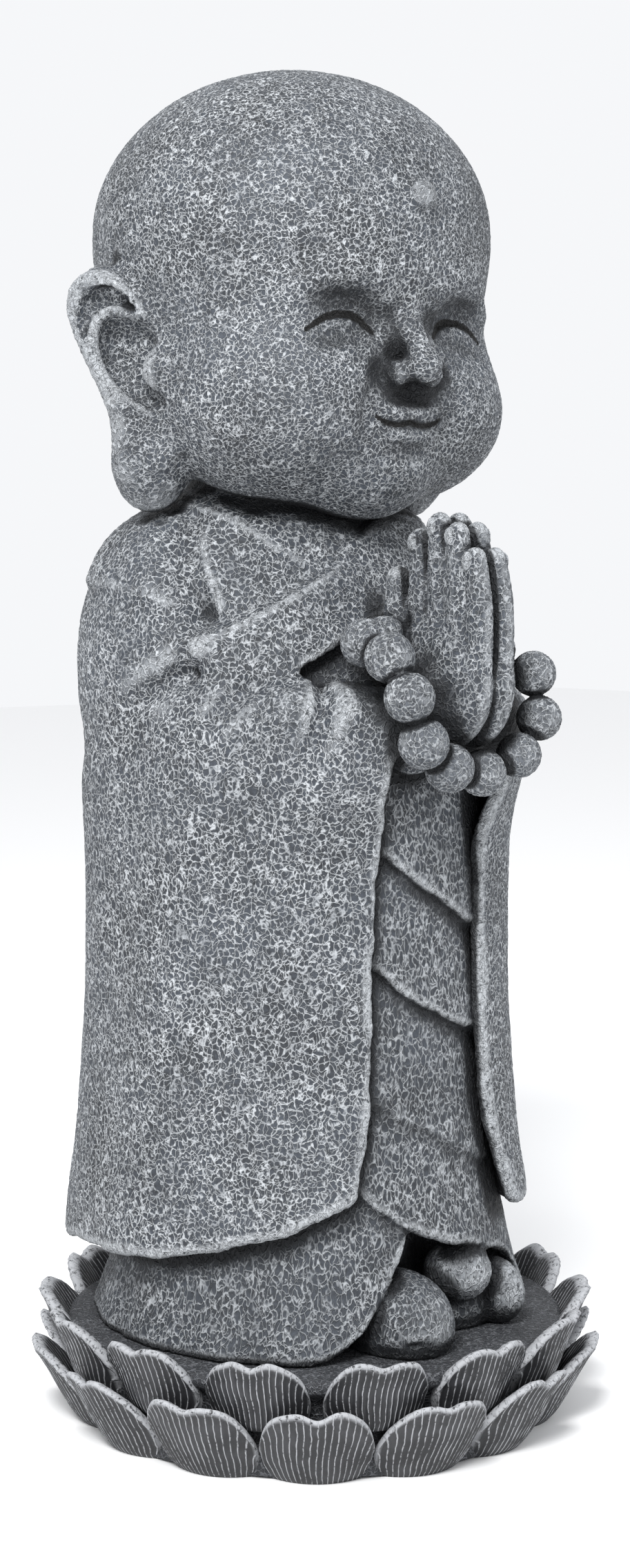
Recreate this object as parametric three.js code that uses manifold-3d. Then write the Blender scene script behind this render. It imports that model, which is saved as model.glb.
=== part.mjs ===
// A garden jizo: a child monk in layered robes, hands joined in prayer inside a
// loop of beads, standing on a round lotus base. Millimetres, +Z up. The figure
// faces -Y, its right hand is towards -X, and the origin is the middle of the
// underside of the base.

import Module from 'manifold-3d';
import * as THREE from 'three';
import { mergeVertices } from 'three/addons/utils/BufferGeometryUtils.js';

const { clamp, degToRad, lerp, smoothstep } = THREE.MathUtils;
const wasm = await Module();
wasm.setup();

// ---------------------------------------------------------------- dimensions

const PETALS = 14; // in each of the two staggered rows
const FOOT_RADIUS = 117; // underside of the lotus base
const DISC_RADIUS = 125; // round top that the figure stands on
const DISC_TOP = 50;
const DISC_RIM = 7; // depth of the plain rim under the disc
const INNER_TIP = { radius: 140, z: 63 };
const OUTER_TIP = { radius: 144.5, z: 42 };

const SEAT_GAP = 0.3; // between the base and the separately cast figure
const FIGURE_FOOT = DISC_TOP + SEAT_GAP;
const ROBE_AXIS_Y = 14; // the hanging sleeves wrap round this upright axis
const SKIRT_AXIS_Y = 5;
const ARM_Z = 351; // height of the forearms
const CLOTH = 4.5; // thickness of a robe's edge

const HEAD = { y: 18.5, z: 588.5, radius: 99, crown: 81, jaw: 122 };
const FINGER = 7; // half the depth of a finger
const BEAD = { right: 12, left: 11.2, cord: 3.5 }; // radii, smaller on its left

// ------------------------------------------------------------ small geometry

/** A smooth curve through [x, y] knots that never overshoots them. */
function profile(...knots) {
  const rise = knots.slice(1).map(([x, y], i) => (y - knots[i][1]) / (x - knots[i][0]));
  const slope = knots.map((_, i) => {
    const before = rise[i - 1] ?? rise[i];
    const after = rise[i] ?? before;
    return before * after > 0 ? (2 * before * after) / (before + after) : 0;
  });
  return (x) => {
    const last = knots.length - 1;
    if (x <= knots[0][0]) return knots[0][1];
    if (x >= knots[last][0]) return knots[last][1];
    const i = knots.findIndex(([end]) => end > x) - 1;
    const width = knots[i + 1][0] - knots[i][0];
    const s = (x - knots[i][0]) / width;
    const ease = s * s * (3 - 2 * s);
    const bend = s * (1 - s) * width;
    return lerp(knots[i][1], knots[i + 1][1], ease)
      + bend * ((1 - s) * slope[i] - s * slope[i + 1]);
  };
}

/** The point at an angle (0 at the front, growing towards +X) round an upright axis. */
function around(axisY, angle, radius, z) {
  return new THREE.Vector3(radius * Math.sin(angle), axisY - radius * Math.cos(angle), z);
}

/** A manifold solid from points and triangles, turned so that its faces point out. */
function solid(points, triangles) {
  const edges = [new THREE.Vector3(), new THREE.Vector3()];
  let volume = 0;
  for (const [a, b, c] of triangles) {
    edges[0].crossVectors(points[b], points[c]);
    volume += points[a].dot(edges[0]);
  }
  const faces = volume < 0 ? triangles.map(([a, b, c]) => [a, c, b]) : triangles;
  return new wasm.Manifold(new wasm.Mesh({
    numProp: 3,
    vertProperties: new Float32Array(points.flatMap((p) => p.toArray())),
    triVerts: new Uint32Array(faces.flat()),
  }));
}

/** The manifold solid of a closed three.js geometry. */
function fromGeometry(geometry) {
  geometry.deleteAttribute('normal');
  geometry.deleteAttribute('uv');
  const merged = mergeVertices(geometry, 1e-3);
  const { position } = merged.attributes;
  const points = Array.from({ length: position.count },
    (_, i) => new THREE.Vector3().fromBufferAttribute(position, i));
  const flat = Array.from(merged.index.array);
  const triangles = [];
  for (let i = 0; i < flat.length; i += 3) {
    const [a, b, c] = flat.slice(i, i + 3);
    if (a !== b && b !== c && c !== a) triangles.push([a, b, c]);
  }
  return solid(points, triangles);
}

/** A closed sheet of cloth or petal between two faces given over (u, v) in 0..1. */
function sheet(outer, inner, columns, rows) {
  const points = [];
  for (const face of [outer, inner]) {
    for (let j = 0; j <= rows; j += 1) {
      for (let i = 0; i <= columns; i += 1) points.push(face(i / columns, j / rows));
    }
  }
  const at = (side, i, j) => side * (columns + 1) * (rows + 1) + j * (columns + 1) + i;
  const triangles = [];
  const quad = (a, b, c, d) => triangles.push([a, b, c], [a, c, d]);
  for (let j = 0; j < rows; j += 1) {
    for (let i = 0; i < columns; i += 1) {
      quad(at(0, i, j), at(0, i + 1, j), at(0, i + 1, j + 1), at(0, i, j + 1));
      quad(at(1, i, j), at(1, i, j + 1), at(1, i + 1, j + 1), at(1, i + 1, j));
    }
    quad(at(0, 0, j), at(0, 0, j + 1), at(1, 0, j + 1), at(1, 0, j));
    quad(at(0, columns, j), at(1, columns, j), at(1, columns, j + 1), at(0, columns, j + 1));
  }
  for (let i = 0; i < columns; i += 1) {
    quad(at(0, i, 0), at(1, i, 0), at(1, i + 1, 0), at(0, i + 1, 0));
    quad(at(0, i, rows), at(0, i + 1, rows), at(1, i + 1, rows), at(1, i, rows));
  }
  return solid(points, triangles);
}

/** A closed skin through rings of points; ring(u, v) runs round with u and along with v. */
function skin(ring, sides, rows) {
  const points = [];
  for (let j = 0; j <= rows; j += 1) {
    for (let i = 0; i < sides; i += 1) points.push(ring(i / sides, j / rows));
  }
  const triangles = [];
  for (let j = 0; j < rows; j += 1) {
    for (let i = 0; i < sides; i += 1) {
      const next = (i + 1) % sides;
      const [a, b] = [j * sides + i, j * sides + next];
      triangles.push([a, b, b + sides], [a, b + sides, a + sides]);
    }
  }
  for (const [first, flip] of [[0, true], [rows * sides, false]]) {
    const middle = new THREE.Vector3();
    for (let i = 0; i < sides; i += 1) middle.addScaledVector(points[first + i], 1 / sides);
    points.push(middle);
    for (let i = 0; i < sides; i += 1) {
      const [a, b] = [first + i, first + ((i + 1) % sides)];
      triangles.push(flip ? [b, a, points.length - 1] : [a, b, points.length - 1]);
    }
  }
  return solid(points, triangles);
}

/** A round-ended limb along a path; radius(t) may swell, and wide flattens it sideways. */
function limb(stops, radius, { sides = 8, rows = 8, wide = 1 } = {}) {
  const path = new THREE.CatmullRomCurve3(stops.map((stop) => new THREE.Vector3(...stop)));
  const across = new THREE.Vector3();
  const upward = new THREE.Vector3();
  return skin((u, v) => {
    const t = clamp((v * rows - 1) / (rows - 2), 0, 1);
    const tangent = path.getTangent(t);
    across.set(1, 0, 0).addScaledVector(tangent, -tangent.x).normalize();
    upward.crossVectors(tangent, across);
    const cap = v === 0 ? -1 : v === 1 ? 1 : 0;
    const size = radius(t) * (cap ? 0.5 : 1);
    const angle = 2 * Math.PI * u;
    return path.getPoint(t)
      .addScaledVector(tangent, cap * 0.8 * radius(t))
      .addScaledVector(across, wide * size * Math.cos(angle))
      .addScaledVector(upward, size * Math.sin(angle));
  }, sides, rows);
}

/** An egg shape about a centre, with its half sizes. */
function egg(centre, half, sides = 12, rows = 8) {
  const geometry = new THREE.SphereGeometry(1, sides, rows);
  geometry.rotateX(Math.PI / 2);
  geometry.scale(...half);
  geometry.translate(...centre);
  return fromGeometry(geometry);
}

function join(solids) {
  return solids.reduce((whole, piece) => whole.add(piece));
}

/** The same thing on the figure's other side. */
function mirrored([x, y, z]) {
  return [-x, y, z];
}

/** The finished mesh of a manifold solid. */
function meshOf(name, material, body) {
  const { numProp, vertProperties, triVerts } = body.getMesh();
  const geometry = new THREE.BufferGeometry();
  const position = new THREE.BufferAttribute(Float32Array.from(vertProperties), numProp);
  geometry.setAttribute('position', position);
  geometry.setIndex(new THREE.BufferAttribute(Uint32Array.from(triVerts), 1));
  geometry.computeVertexNormals();
  const mesh = new THREE.Mesh(geometry, material);
  mesh.name = name;
  return mesh;
}

// ---------------------------------------------------------------- lotus base

/** One petal: a cupped sheet that leans out, with two shoulders and a dip between. */
function petal(turn, tip, { bottom, halfWidth, thick, reach, columns, rows }) {
  const tall = tip.z - bottom.z;
  const face = (depth) => (u, v) => {
    const side = 2 * u - 1;
    const arch = Math.sqrt(1 - Math.abs(side) ** 3.2 * 0.86);
    const dip = 1 - 0.09 * Math.exp(-((side / 0.2) ** 2));
    const z = bottom.z + tall * v * arch * dip;
    const rise = (z - bottom.z) / tall;
    const spread = 0.9 + 0.1 * Math.sin(Math.PI * Math.min(0.62, 0.15 + rise));
    const lean = lerp(bottom.radius, tip.radius, rise ** 0.85);
    const curl = 2.5 * v ** 8;
    const cup = 9 * side * side * (1 - 0.3 * rise);
    const radius = lean + curl - cup - depth * lerp(reach, thick, v);
    return around(0, turn + halfWidth * side * spread, radius, z);
  };
  return sheet(face(0), face(1), columns, rows);
}

function lotusBase() {
  const core = new THREE.LatheGeometry([
    new THREE.Vector2(0, 0),
    new THREE.Vector2(FOOT_RADIUS, 0),
    new THREE.Vector2(FOOT_RADIUS, DISC_TOP - DISC_RIM - 2),
    new THREE.Vector2(DISC_RADIUS, DISC_TOP - DISC_RIM),
    new THREE.Vector2(DISC_RADIUS, DISC_TOP),
    new THREE.Vector2(0, DISC_TOP),
  ], 2 * PETALS);
  core.rotateX(Math.PI / 2);
  const pitch = (2 * Math.PI) / PETALS;
  const petals = [];
  for (let i = 0; i < PETALS; i += 1) {
    petals.push(petal(i * pitch, INNER_TIP, {
      bottom: { radius: 126, z: 28 }, halfWidth: 0.45 * pitch, thick: 6, reach: 10,
      columns: 4, rows: 1,
    }));
    petals.push(petal((i + 0.5) * pitch, OUTER_TIP, {
      bottom: { radius: 121, z: 0 }, halfWidth: 0.492 * pitch, thick: 5, reach: 8,
      columns: 6, rows: 2,
    }));
  }
  return join([fromGeometry(core), ...petals]);
}

// --------------------------------------------------------------------- torso

const torso = {
  axis: profile([330, 14], [365, 14], [382, 16], [399, 19], [416, 23], [433, 28], [447, 33],
    [458, 36], [470, 38]),
  side: profile([318, 98], [365, 100], [382, 99], [399, 97], [416, 94], [433, 89], [447, 80],
    [458, 64], [470, 44]),
  front: profile([330, 90], [345, 88], [365, 82], [382, 77], [399, 71], [416, 66], [433, 61],
    [447, 58], [458, 48], [470, 38]),
  back: profile([330, 102], [365, 104], [382, 100], [399, 92], [416, 81], [433, 70], [447, 58],
    [458, 48], [470, 40]),
};

/** The chest, shoulders and back, down to where the sleeves take over. */
function torsoSolid() {
  const [low, high] = [318, 474];
  return skin((u, v) => {
    const z = lerp(low, high, v);
    const angle = 2 * Math.PI * u;
    const depth = Math.cos(angle) > 0 ? torso.front(z) : torso.back(z);
    return new THREE.Vector3(
      torso.side(z) * Math.sin(angle), torso.axis(z) - depth * Math.cos(angle), z);
  }, 18, 5);
}

/** The point on the chest at (x, z), lifted off it by some height. */
function onChest(x, z, lift) {
  const side = torso.side(z) + lift;
  const across = clamp(x / side, -0.995, 0.995);
  const depth = torso.front(z) + lift;
  return new THREE.Vector3(side * across, torso.axis(z) - depth * Math.sqrt(1 - across ** 2), z);
}

/** A collar: a band of cloth over the chest between two edges drawn in (x, z). */
function collar(upper, lower, lift) {
  const edge = (stops) => new THREE.SplineCurve(stops.map((stop) => new THREE.Vector2(...stop)));
  const [top, bottom] = [edge(upper), edge(lower)];
  const face = (height) => (u, v) => {
    const spot = top.getPoint(u).lerp(bottom.getPoint(u), v);
    return onChest(spot.x, spot.y, height);
  };
  return sheet(face(lift), face(-8), 6, 1);
}

function collars() {
  const under = collar(
    [[-26, 472], [-11, 458], [0, 446], [16, 432]],
    [[-72, 460], [-50, 436], [-31, 421], [0, 398]], 3);
  const over = collar(
    [[36, 466], [22, 453], [0, 442], [-30, 422], [-62, 406], [-88, 390]],
    [[66, 452], [40, 424], [0, 403], [-32, 389], [-62, 373], [-88, 356]], 5.5);
  return [under, over];
}

// --------------------------------------------------------------- robe sleeves

/** How far out the sleeve hangs, by angle from the front (0..PI) and height. */
function sleeveRadius(angle, z) {
  const hang = profile([84, 118], [110, 116], [140, 112], [180, 109], [220, 107], [260, 107],
    [300, 108.5], [330, 110])(z);
  const cuff = 16 * smoothstep(z, 286, 344) * (1 - smoothstep(angle, 0.3, 0.95));
  const flare = 6 * (1 - smoothstep(z, 100, 165)) * (1 - smoothstep(angle, 0.3, 0.9));
  const fold = 1.6 * Math.sin(angle * 9 + z / 90) * smoothstep(angle, 0.5, 1.1);
  const tuck = lerp(7, 10, smoothstep(angle, 1, 1.6)) * smoothstep(z, 334, 352);
  return hang + cuff + flare + fold - tuck;
}

/** Angle of the sleeve's front edge at a height. */
const sleeveEdge = profile([100, 0.47], [120, 0.45], [140, 0.40], [160, 0.36], [200, 0.335],
  [260, 0.32], [300, 0.3], [335, 0.305], [352, 0.29]);

/** Height of the sleeve's hem at an angle. */
const sleeveHem = profile([0.3, 130], [0.5, 124], [0.66, 115], [0.9, 107], [1.2, 98.5], [1.5, 94],
  [1.85, 91.5], [2.2, 87], [Math.PI, 85]);

/** Both sleeves and the back of the outer robe, as one sheet from edge to edge. */
function outerRobe() {
  const face = (depth) => (u, v) => {
    const half = 2 * u - 1;
    const side = Math.sign(half) || 1;
    const turn = Math.PI * (1 - Math.abs(half) ** 1.15);
    const angleAt = (z) => lerp(sleeveEdge(z), Math.PI, turn / Math.PI);
    const front = 1 - smoothstep(angleAt(110), 0.45, 0.9);
    const bottom = sleeveHem(angleAt(110)) - (side > 0 ? 13 * front : 0);
    const z = lerp(bottom, ARM_Z, v);
    const angle = angleAt(z);
    const inward = depth * lerp(9, 26, smoothstep(angle, 0.5, 1.0));
    return around(ROBE_AXIS_Y, side * angle, sleeveRadius(angle, z) - inward, z);
  };
  return sheet(face(0), face(1), 22, 4);
}

/** Upper arm: upright ovals, by height, with their middle (x, y) and half sizes. */
const upperArm = {
  x: profile([324, 80], [382, 80], [399, 78], [416, 74], [433, 68], [447, 60], [457, 50]),
  y: profile([324, 22], [351, 25], [382, 27], [416, 29], [433, 32], [457, 36]),
  wide: profile([324, 20], [340, 27], [365, 30], [399, 30], [416, 29], [433, 27], [447, 24],
    [457, 17]),
  deep: profile([324, 36], [340, 45], [365, 49.5], [399, 48], [416, 45], [433, 40], [447, 33],
    [457, 23]),
};

function arm(side) {
  const upper = skin((u, v) => {
    const z = lerp(324, 457, v);
    const angle = 2 * Math.PI * u;
    return new THREE.Vector3(
      side * (upperArm.x(z) + upperArm.wide(z) * Math.cos(angle)),
      upperArm.y(z) + upperArm.deep(z) * Math.sin(angle), z);
  }, 12, 6);
  const reach = [[80, -2, ARM_Z + 3], [60, -42, ARM_Z + 2], [28, -84, ARM_Z]];
  const fore = limb(reach.map(([x, y, z]) => [side * x, y, z]),
    (t) => lerp(20, 18, t) + 1.5 * Math.cos(5 * Math.PI * t), { sides: 7, rows: 7, wide: 1.15 });
  return [upper, fore];
}

// ------------------------------------------------------------ robe under them

/** Radius of the gown below the sleeves, flaring to its foot. */
const gown = profile([FIGURE_FOOT, 110.5], [62, 106], [76, 101], [100, 95.5], [130, 90], [180, 88],
  [345, 88]);

/** Foot of the gown at an angle; in front it is lifted off the shoes. */
function gownFoot(angle) {
  const lift = profile([-0.66, 0], [-0.58, 3], [-0.45, 12], [-0.35, 23], [-0.28, 32], [-0.21, 43],
    [-0.1, 60], [0.3, 60], [0.62, 42], [0.83, 22], [0.95, 0]);
  return FIGURE_FOOT + lift(angle);
}

/** The gown down to the disc, open in front over the shoes. */
function gownCore() {
  return skin((u, v) => {
    const z = lerp(FIGURE_FOOT, 346, v ** 1.4);
    const angle = 2 * Math.PI * u;
    const front = smoothstep(Math.cos(angle), 0.35, 0.8) * (1 - smoothstep(z, 96, 112));
    return around(SKIRT_AXIS_Y, angle, gown(z) * (1 - 0.33 * front), z);
  }, 18, 4);
}

/** The flap of the gown on the figure's right, its edge rising clear of the shoe. */
function gownFlap() {
  const face = (depth) => (u, v) => {
    const angle = lerp(-1.25, -0.12, u);
    const z = lerp(gownFoot(angle), 130, v);
    return around(SKIRT_AXIS_Y, angle, gown(z) + 0.5 - 16 * depth, z);
  };
  return sheet(face(0), face(1), 8, 3);
}

/** Height of a front layer's hem at x; each falls towards the figure's left. */
function layerHem(middle, x) {
  return middle - 0.52 * x + 0.0022 * x * x;
}

/** The four overlapping layers seen between the sleeves, each ending in a thick hem. */
function frontLayers() {
  const middles = [269.6, 214.5, 152.5, 102];
  const top = 346;
  return middles.map((middle, index) => {
    const above = index ? middles[index - 1] : top - 14;
    const [left, right] = [-46, index === 3 ? 84 : 44];
    const face = (depth) => (u, v) => {
      const x = lerp(left, right, u);
      const low = layerHem(middle, x);
      const high = layerHem(above, x) + 14;
      const z = Math.min(lerp(low, high, v), top);
      const stand = lerp(1 + CLOTH, 0, v) + gown(Math.max(z, 130)) - 2;
      const wide = index === 3 ? Math.max(gown(z) + 3, stand) : stand;
      const radius = wide - depth * 14;
      const angle = Math.asin(clamp(x / (gown(z) + 3), -1, 1));
      return around(SKIRT_AXIS_Y, angle, radius, z);
    };
    return sheet(face(0), face(1), 5, 1);
  });
}

/** Both feet: one rounded shoe, and one split at the toe with a raised inner lobe. */
function shoes() {
  const toe = (centre, half) => egg(centre, half, 8, 6);
  return [
    toe([-12, -76, 62], [25, 34, 25]),
    toe([27, -78, 80], [17, 17, 15]),
    toe([53, -76, 65], [13, 19, 17]),
    toe([34, -58, 60], [30, 26, 22]),
  ];
}

// ----------------------------------------------------------- hands and beads

function hand(side) {
  const at = ([x, y, z]) => [side * x, y, z];
  const finger = (stops, radius = FINGER) => limb(stops.map(at),
    (t) => lerp(radius, 0.86 * radius, t), { sides: 5, rows: 3, wide: 0.85 });
  return [
    finger([[8, -88, 386], [7.5, -88, 412], [6, -86, 439]]),
    finger([[8.5, -101, 386], [7.5, -101, 415], [6, -99, 446]]),
    finger([[8.5, -114, 386], [7.5, -114, 414], [6, -111, 442]], 6.6),
    finger([[8, -126, 386], [7.5, -126, 408], [6, -122, 429]], 6.4),
    finger([[10, -84, 372], [11, -75, 394], [8, -72, 419]], 6),
    egg(at([8.5, -104, 378]), [13, 29, 29], 8, 5),
    limb([[13, -90, 346], [9, -100, 366]].map(at), () => 16, { sides: 6, rows: 3 }),
  ];
}

/** The beads on their closed loop round both hands, from the wrist's right side round. */
function beads() {
  const places = [[-22, -79, 391], [-41, -88, 390], [-44.5, -109, 384], [-42, -120, 366],
    [-35, -122, 345], [-17, -119.5, 333], [5, -118, 329.5], [27, -119.5, 337], [40.5, -119, 354],
    [40.5, -115, 375], [30, -98, 386], [15, -83, 391], [-4, -78, 392]];
  const loop = new THREE.CatmullRomCurve3(places.map((p) => new THREE.Vector3(...p)), true);
  const cord = new THREE.TubeGeometry(loop, places.length, BEAD.cord, 3, true);
  const strung = places.map((place) => {
    const radius = lerp(BEAD.right, BEAD.left, smoothstep(place[0], -30, 30));
    return egg(place, [radius, radius, radius], 8, 4);
  });
  return [fromGeometry(cord), ...strung];
}

// ---------------------------------------------------------------------- head

/** Roughly how far a point is outside an ellipsoid. */
function ellipsoid([x, y, z], centre, half) {
  const [dx, dy, dz] = [x - centre[0], y - centre[1], z - centre[2]];
  const near = Math.hypot(dx / half[0], dy / half[1], dz / half[2]);
  const steep = Math.hypot(dx / half[0] ** 2, dy / half[1] ** 2, dz / half[2] ** 2);
  return (near * (near - 1)) / Math.max(steep, 1e-9);
}

/** The smaller of two distances, with the crease between them rounded. */
function blend(a, b, round) {
  const near = Math.max(round - Math.abs(a - b), 0) / round;
  return Math.min(a, b) - (near * near * round) / 4;
}

function carve(body, cut, round) {
  return -blend(-body, cut, round);
}

/** Distance outside the face and skull; the two halves of the face are alike. */
function headField(point) {
  const [x, y, z] = point;
  const near = [Math.abs(x), y, z];
  const lift = z > HEAD.z ? HEAD.crown : HEAD.jaw;
  let d = ellipsoid(point, [0, HEAD.y, HEAD.z], [HEAD.radius, HEAD.radius, lift]);
  d = blend(d, ellipsoid(near, [38, -14, 503], [52, 59, 45]), 26);
  d = blend(d, ellipsoid(point, [0, -30, 490], [42, 37, 34]), 20);
  d = blend(d, ellipsoid(point, [0, -39, 473], [27, 29, 23]), 14);
  d = carve(d, ellipsoid(near, [37, -84, 543], [25, 22, 12]), 16);
  d = blend(d, ellipsoid(near, [37, -46, 539], [20, 16, 11]), 8);
  return d;
}

/** The head's surface in a direction from inside it. */
function onHead(direction) {
  const heart = new THREE.Vector3(0, 6, 545);
  let [inside, outside] = [20, 160];
  for (let i = 0; i < 24; i += 1) {
    const middle = (inside + outside) / 2;
    const spot = heart.clone().addScaledVector(direction, middle);
    if (headField(spot.toArray()) < 0) inside = middle;
    else outside = middle;
  }
  return heart.addScaledVector(direction, inside);
}

/** The skull and face, with finer facets where the face is. */
function skullAndFace() {
  return skin((u, v) => {
    const side = 2 * u - 1;
    const angle = Math.PI * side - 0.6 * Math.sin(Math.PI * side);
    const fall = 2 * v - 1;
    const tilt = degToRad(88) * (fall + 0.16 * Math.sin(Math.PI * fall) - 0.1 * (1 - fall ** 2));
    return onHead(new THREE.Vector3(
      Math.sin(angle) * Math.cos(tilt), -Math.cos(angle) * Math.cos(tilt), Math.sin(tilt)));
  }, 26, 17);
}

/** Nose, lips and the raised round mark on the forehead. */
function features() {
  const wings = [-1, 1].map((side) => egg([side * 12, -72, 516.5], [8, 8.5, 7], 7, 4));
  return [
    limb([[0, -64, 552], [0, -72, 536], [0, -81, 521]], (t) => lerp(5, 8, t), { sides: 6, rows: 5 }),
    egg([0, -80, 520], [10.5, 11, 8.5], 7, 5),
    ...wings,
    egg([0, -66, 498], [18, 9, 5.5], 8, 4),
    egg([0, -66, 488.5], [13, 8.5, 5.5], 8, 4),
    egg([0, -78, 599], [8.5, 5, 8.5], 8, 5),
  ];
}

/** A shallow line pressed into the face along some points. */
function groove(stops) {
  return limb(stops, () => 2, { sides: 3, rows: 6 });
}

/** The closed eyes and the line between the lips. */
function faceLines() {
  const eye = [[51, 537], [43, 541.5], [33, 543.5], [25, 541], [20, 536]];
  const onFace = ([x, z]) => onHead(new THREE.Vector3(x, -60, z - 545).normalize()).toArray();
  const right = eye.map(([x, z]) => onFace([-x, z]));
  return [
    groove(right),
    groove(right.map(mirrored)),
    groove([[-20, -67, 495], [-10, -73, 492.8], [0, -75, 493.4], [10, -73, 492.8],
      [20, -67, 495]]),
  ];
}

// ---------------------------------------------------------------------- ears

const EAR_ROOT = { x: 91, y: 8 };
const EAR_FLARE = degToRad(58); // from sideways towards the back

/** A place on the ear: back is the distance out from its root, out is towards its face. */
function onEar(side, back, z, out) {
  const [sin, cos] = [Math.sin(EAR_FLARE), Math.cos(EAR_FLARE)];
  return [side * (EAR_ROOT.x + back * cos + out * sin), EAR_ROOT.y + back * sin - out * cos, z];
}

function ear(side) {
  const tube = (stops, radius, rows) => limb(
    stops.map(([back, z, out]) => onEar(side, back, z, out)), radius, { sides: 5, rows });
  const rim = tube([[2, 533, 1], [3, 547, 2], [12, 559, 2], [27, 566, 1], [39, 561, 0],
    [41, 548, 0], [37, 536, 0], [31, 524, 0], [24, 512, -1], [18, 498, -2], [14, 482, -4]],
  (t) => 5.2 + 4 * smoothstep(t, 0.8, 1), 10);
  const fold = tube([[6, 543, 0], [19, 546, 1], [29, 541, 1], [31, 530, 1], [25, 517, 1],
    [14, 504, 0], [3, 492, -2]], () => 3.8, 7);
  const bowl = sheet(
    (u, v) => new THREE.Vector3(...onEar(side, lerp(-8, lerp(20, 38, v), u),
      lerp(488, 562, v), -4)),
    (u, v) => new THREE.Vector3(...onEar(side, lerp(-8, lerp(16, 32, v), u),
      lerp(490, 558, v), -12)), 1, 3);
  return [
    bowl, rim, fold,
    egg(onEar(side, 0, 519, 1), [7, 7, 7.5], 6, 4),
    egg([side * 82, 25, 473], [18, 19, 22], 8, 6),
    egg(onEar(side, 0, 520, -14), [14, 20, 34], 7, 4),
  ];
}

// -------------------------------------------------------------------- figure

/** The whole figure, cast as one. */
function figure() {
  const neck = egg([0, 24, 462], [52, 50, 30], 10, 5);
  const body = join([
    gownCore(), gownFlap(), ...frontLayers(), outerRobe(), torsoSolid(), ...collars(),
    ...arm(-1), ...arm(1), ...shoes(), ...hand(-1), ...hand(1), ...beads(),
    neck, skullAndFace(), ...features(), ...ear(-1), ...ear(1),
  ]);
  const below = new THREE.BoxGeometry(400, 400, 100);
  below.translate(0, 0, FIGURE_FOOT - 50);
  return body.subtract(join([...faceLines(), fromGeometry(below)]));
}

// --------------------------------------------------------------------- model

const stone = () => new THREE.MeshStandardMaterial({
  color: 0x54585e, roughness: 0.85, metalness: 0,
});

const model = new THREE.Group();
model.add(meshOf('lotus_base', stone(), lotusBase()));
model.add(meshOf('figure', stone(), figure()));

export default model;
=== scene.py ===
import math

import bpy
import numpy as np
from bpy.props import FloatProperty, FloatVectorProperty, IntProperty, PointerProperty
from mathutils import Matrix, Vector


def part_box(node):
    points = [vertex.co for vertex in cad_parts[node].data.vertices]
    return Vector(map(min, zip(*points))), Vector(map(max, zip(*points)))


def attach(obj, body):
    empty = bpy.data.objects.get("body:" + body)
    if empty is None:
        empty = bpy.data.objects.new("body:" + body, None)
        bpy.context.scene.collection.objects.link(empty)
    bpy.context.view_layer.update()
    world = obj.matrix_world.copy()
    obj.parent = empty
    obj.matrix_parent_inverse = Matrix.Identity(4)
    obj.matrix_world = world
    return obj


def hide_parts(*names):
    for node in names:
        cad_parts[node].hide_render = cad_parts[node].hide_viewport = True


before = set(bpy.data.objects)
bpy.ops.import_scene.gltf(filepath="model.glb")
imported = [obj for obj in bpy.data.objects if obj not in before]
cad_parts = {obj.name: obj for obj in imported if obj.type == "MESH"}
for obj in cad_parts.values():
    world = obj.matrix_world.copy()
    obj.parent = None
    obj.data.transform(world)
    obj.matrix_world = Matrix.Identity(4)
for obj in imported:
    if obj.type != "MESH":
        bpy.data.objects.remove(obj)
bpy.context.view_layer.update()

bl_info = {
    "name": "Stone Jizo",
    "version": (1, 0, 0),
    "blender": (4, 5, 0),
    "location": "View3D > Sidebar > Stone Jizo",
    "description": "A garden jizo on its lotus base, modelled as clay fields and petals",
    "category": "Object",
}

MM = 0.001
BODY = "root"

# The sizes below are millimetres. The figure faces -Y and its right hand is towards -X.
SOLE_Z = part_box("figure")[0][2] / MM
DISC_TOP = SOLE_Z - 0.3
ROBE_AXIS_Y = 14.0
SKIRT_AXIS_Y = 5.0
ARM_Z = 351.0
HEAD = {"y": 18.5, "z": 588.5, "radius": 99.0, "crown": 81.0, "jaw": 122.0}
EAR_ROOT = (91.0, 8.0)
EAR_FLARE = math.radians(58)
SIDES = (-1, 1)


# ---- curves and blends

def smoothstep(value, low, high):
    """0 below low, 1 above high, and an even rise between them."""
    share = np.clip((value - low) / (high - low), 0.0, 1.0)
    return share * share * (3.0 - 2.0 * share)


def lerp(a, b, share):
    return a + (b - a) * share


def profile(*knots):
    """A smooth curve through (x, y) knots that never overshoots them."""
    x, y = np.array(knots, float).T
    rise = np.diff(y) / np.diff(x)
    before, after = np.append(rise[0], rise), np.append(rise, rise[-1])
    same_way = before * after > 0
    slope = np.where(same_way, 2 * before * after / np.where(same_way, before + after, 1), 0)
    fine = np.linspace(x[0], x[-1], 600)
    span = np.clip(np.searchsorted(x, fine, "right") - 1, 0, len(x) - 2)
    width = np.diff(x)[span]
    share = (fine - x[span]) / width
    ease = share * share * (3 - 2 * share)
    bend = share * (1 - share) * width
    height = (lerp(y[span], y[span + 1], ease)
              + bend * ((1 - share) * slope[span] - share * slope[span + 1]))
    return lambda value: np.interp(value, fine, height)


def spline(stops, count):
    """Points along a smooth path through the stops, as many as asked for."""
    stops = np.array(stops, float)
    ends = np.vstack([2 * stops[0] - stops[1], stops, 2 * stops[-1] - stops[-2]])
    place = np.linspace(0, len(stops) - 1, count)
    i = np.minimum(place.astype(int), len(stops) - 2)
    t = (place - i)[:, None]
    a, b, c, d = ends[i], ends[i + 1], ends[i + 2], ends[i + 3]
    return 0.5 * (2 * b + (c - a) * t + (2 * a - 5 * b + 4 * c - d) * t ** 2
                  + (3 * b - a - 3 * c + d) * t ** 3)


def joined(a, b, soft=0.0):
    """The nearer of two shapes, with the crease between them filled by some softness."""
    if soft <= 0:
        return np.minimum(a, b)
    near = np.maximum(soft - np.abs(a - b), 0) / soft
    return np.minimum(a, b) - near * near * soft / 4


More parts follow.
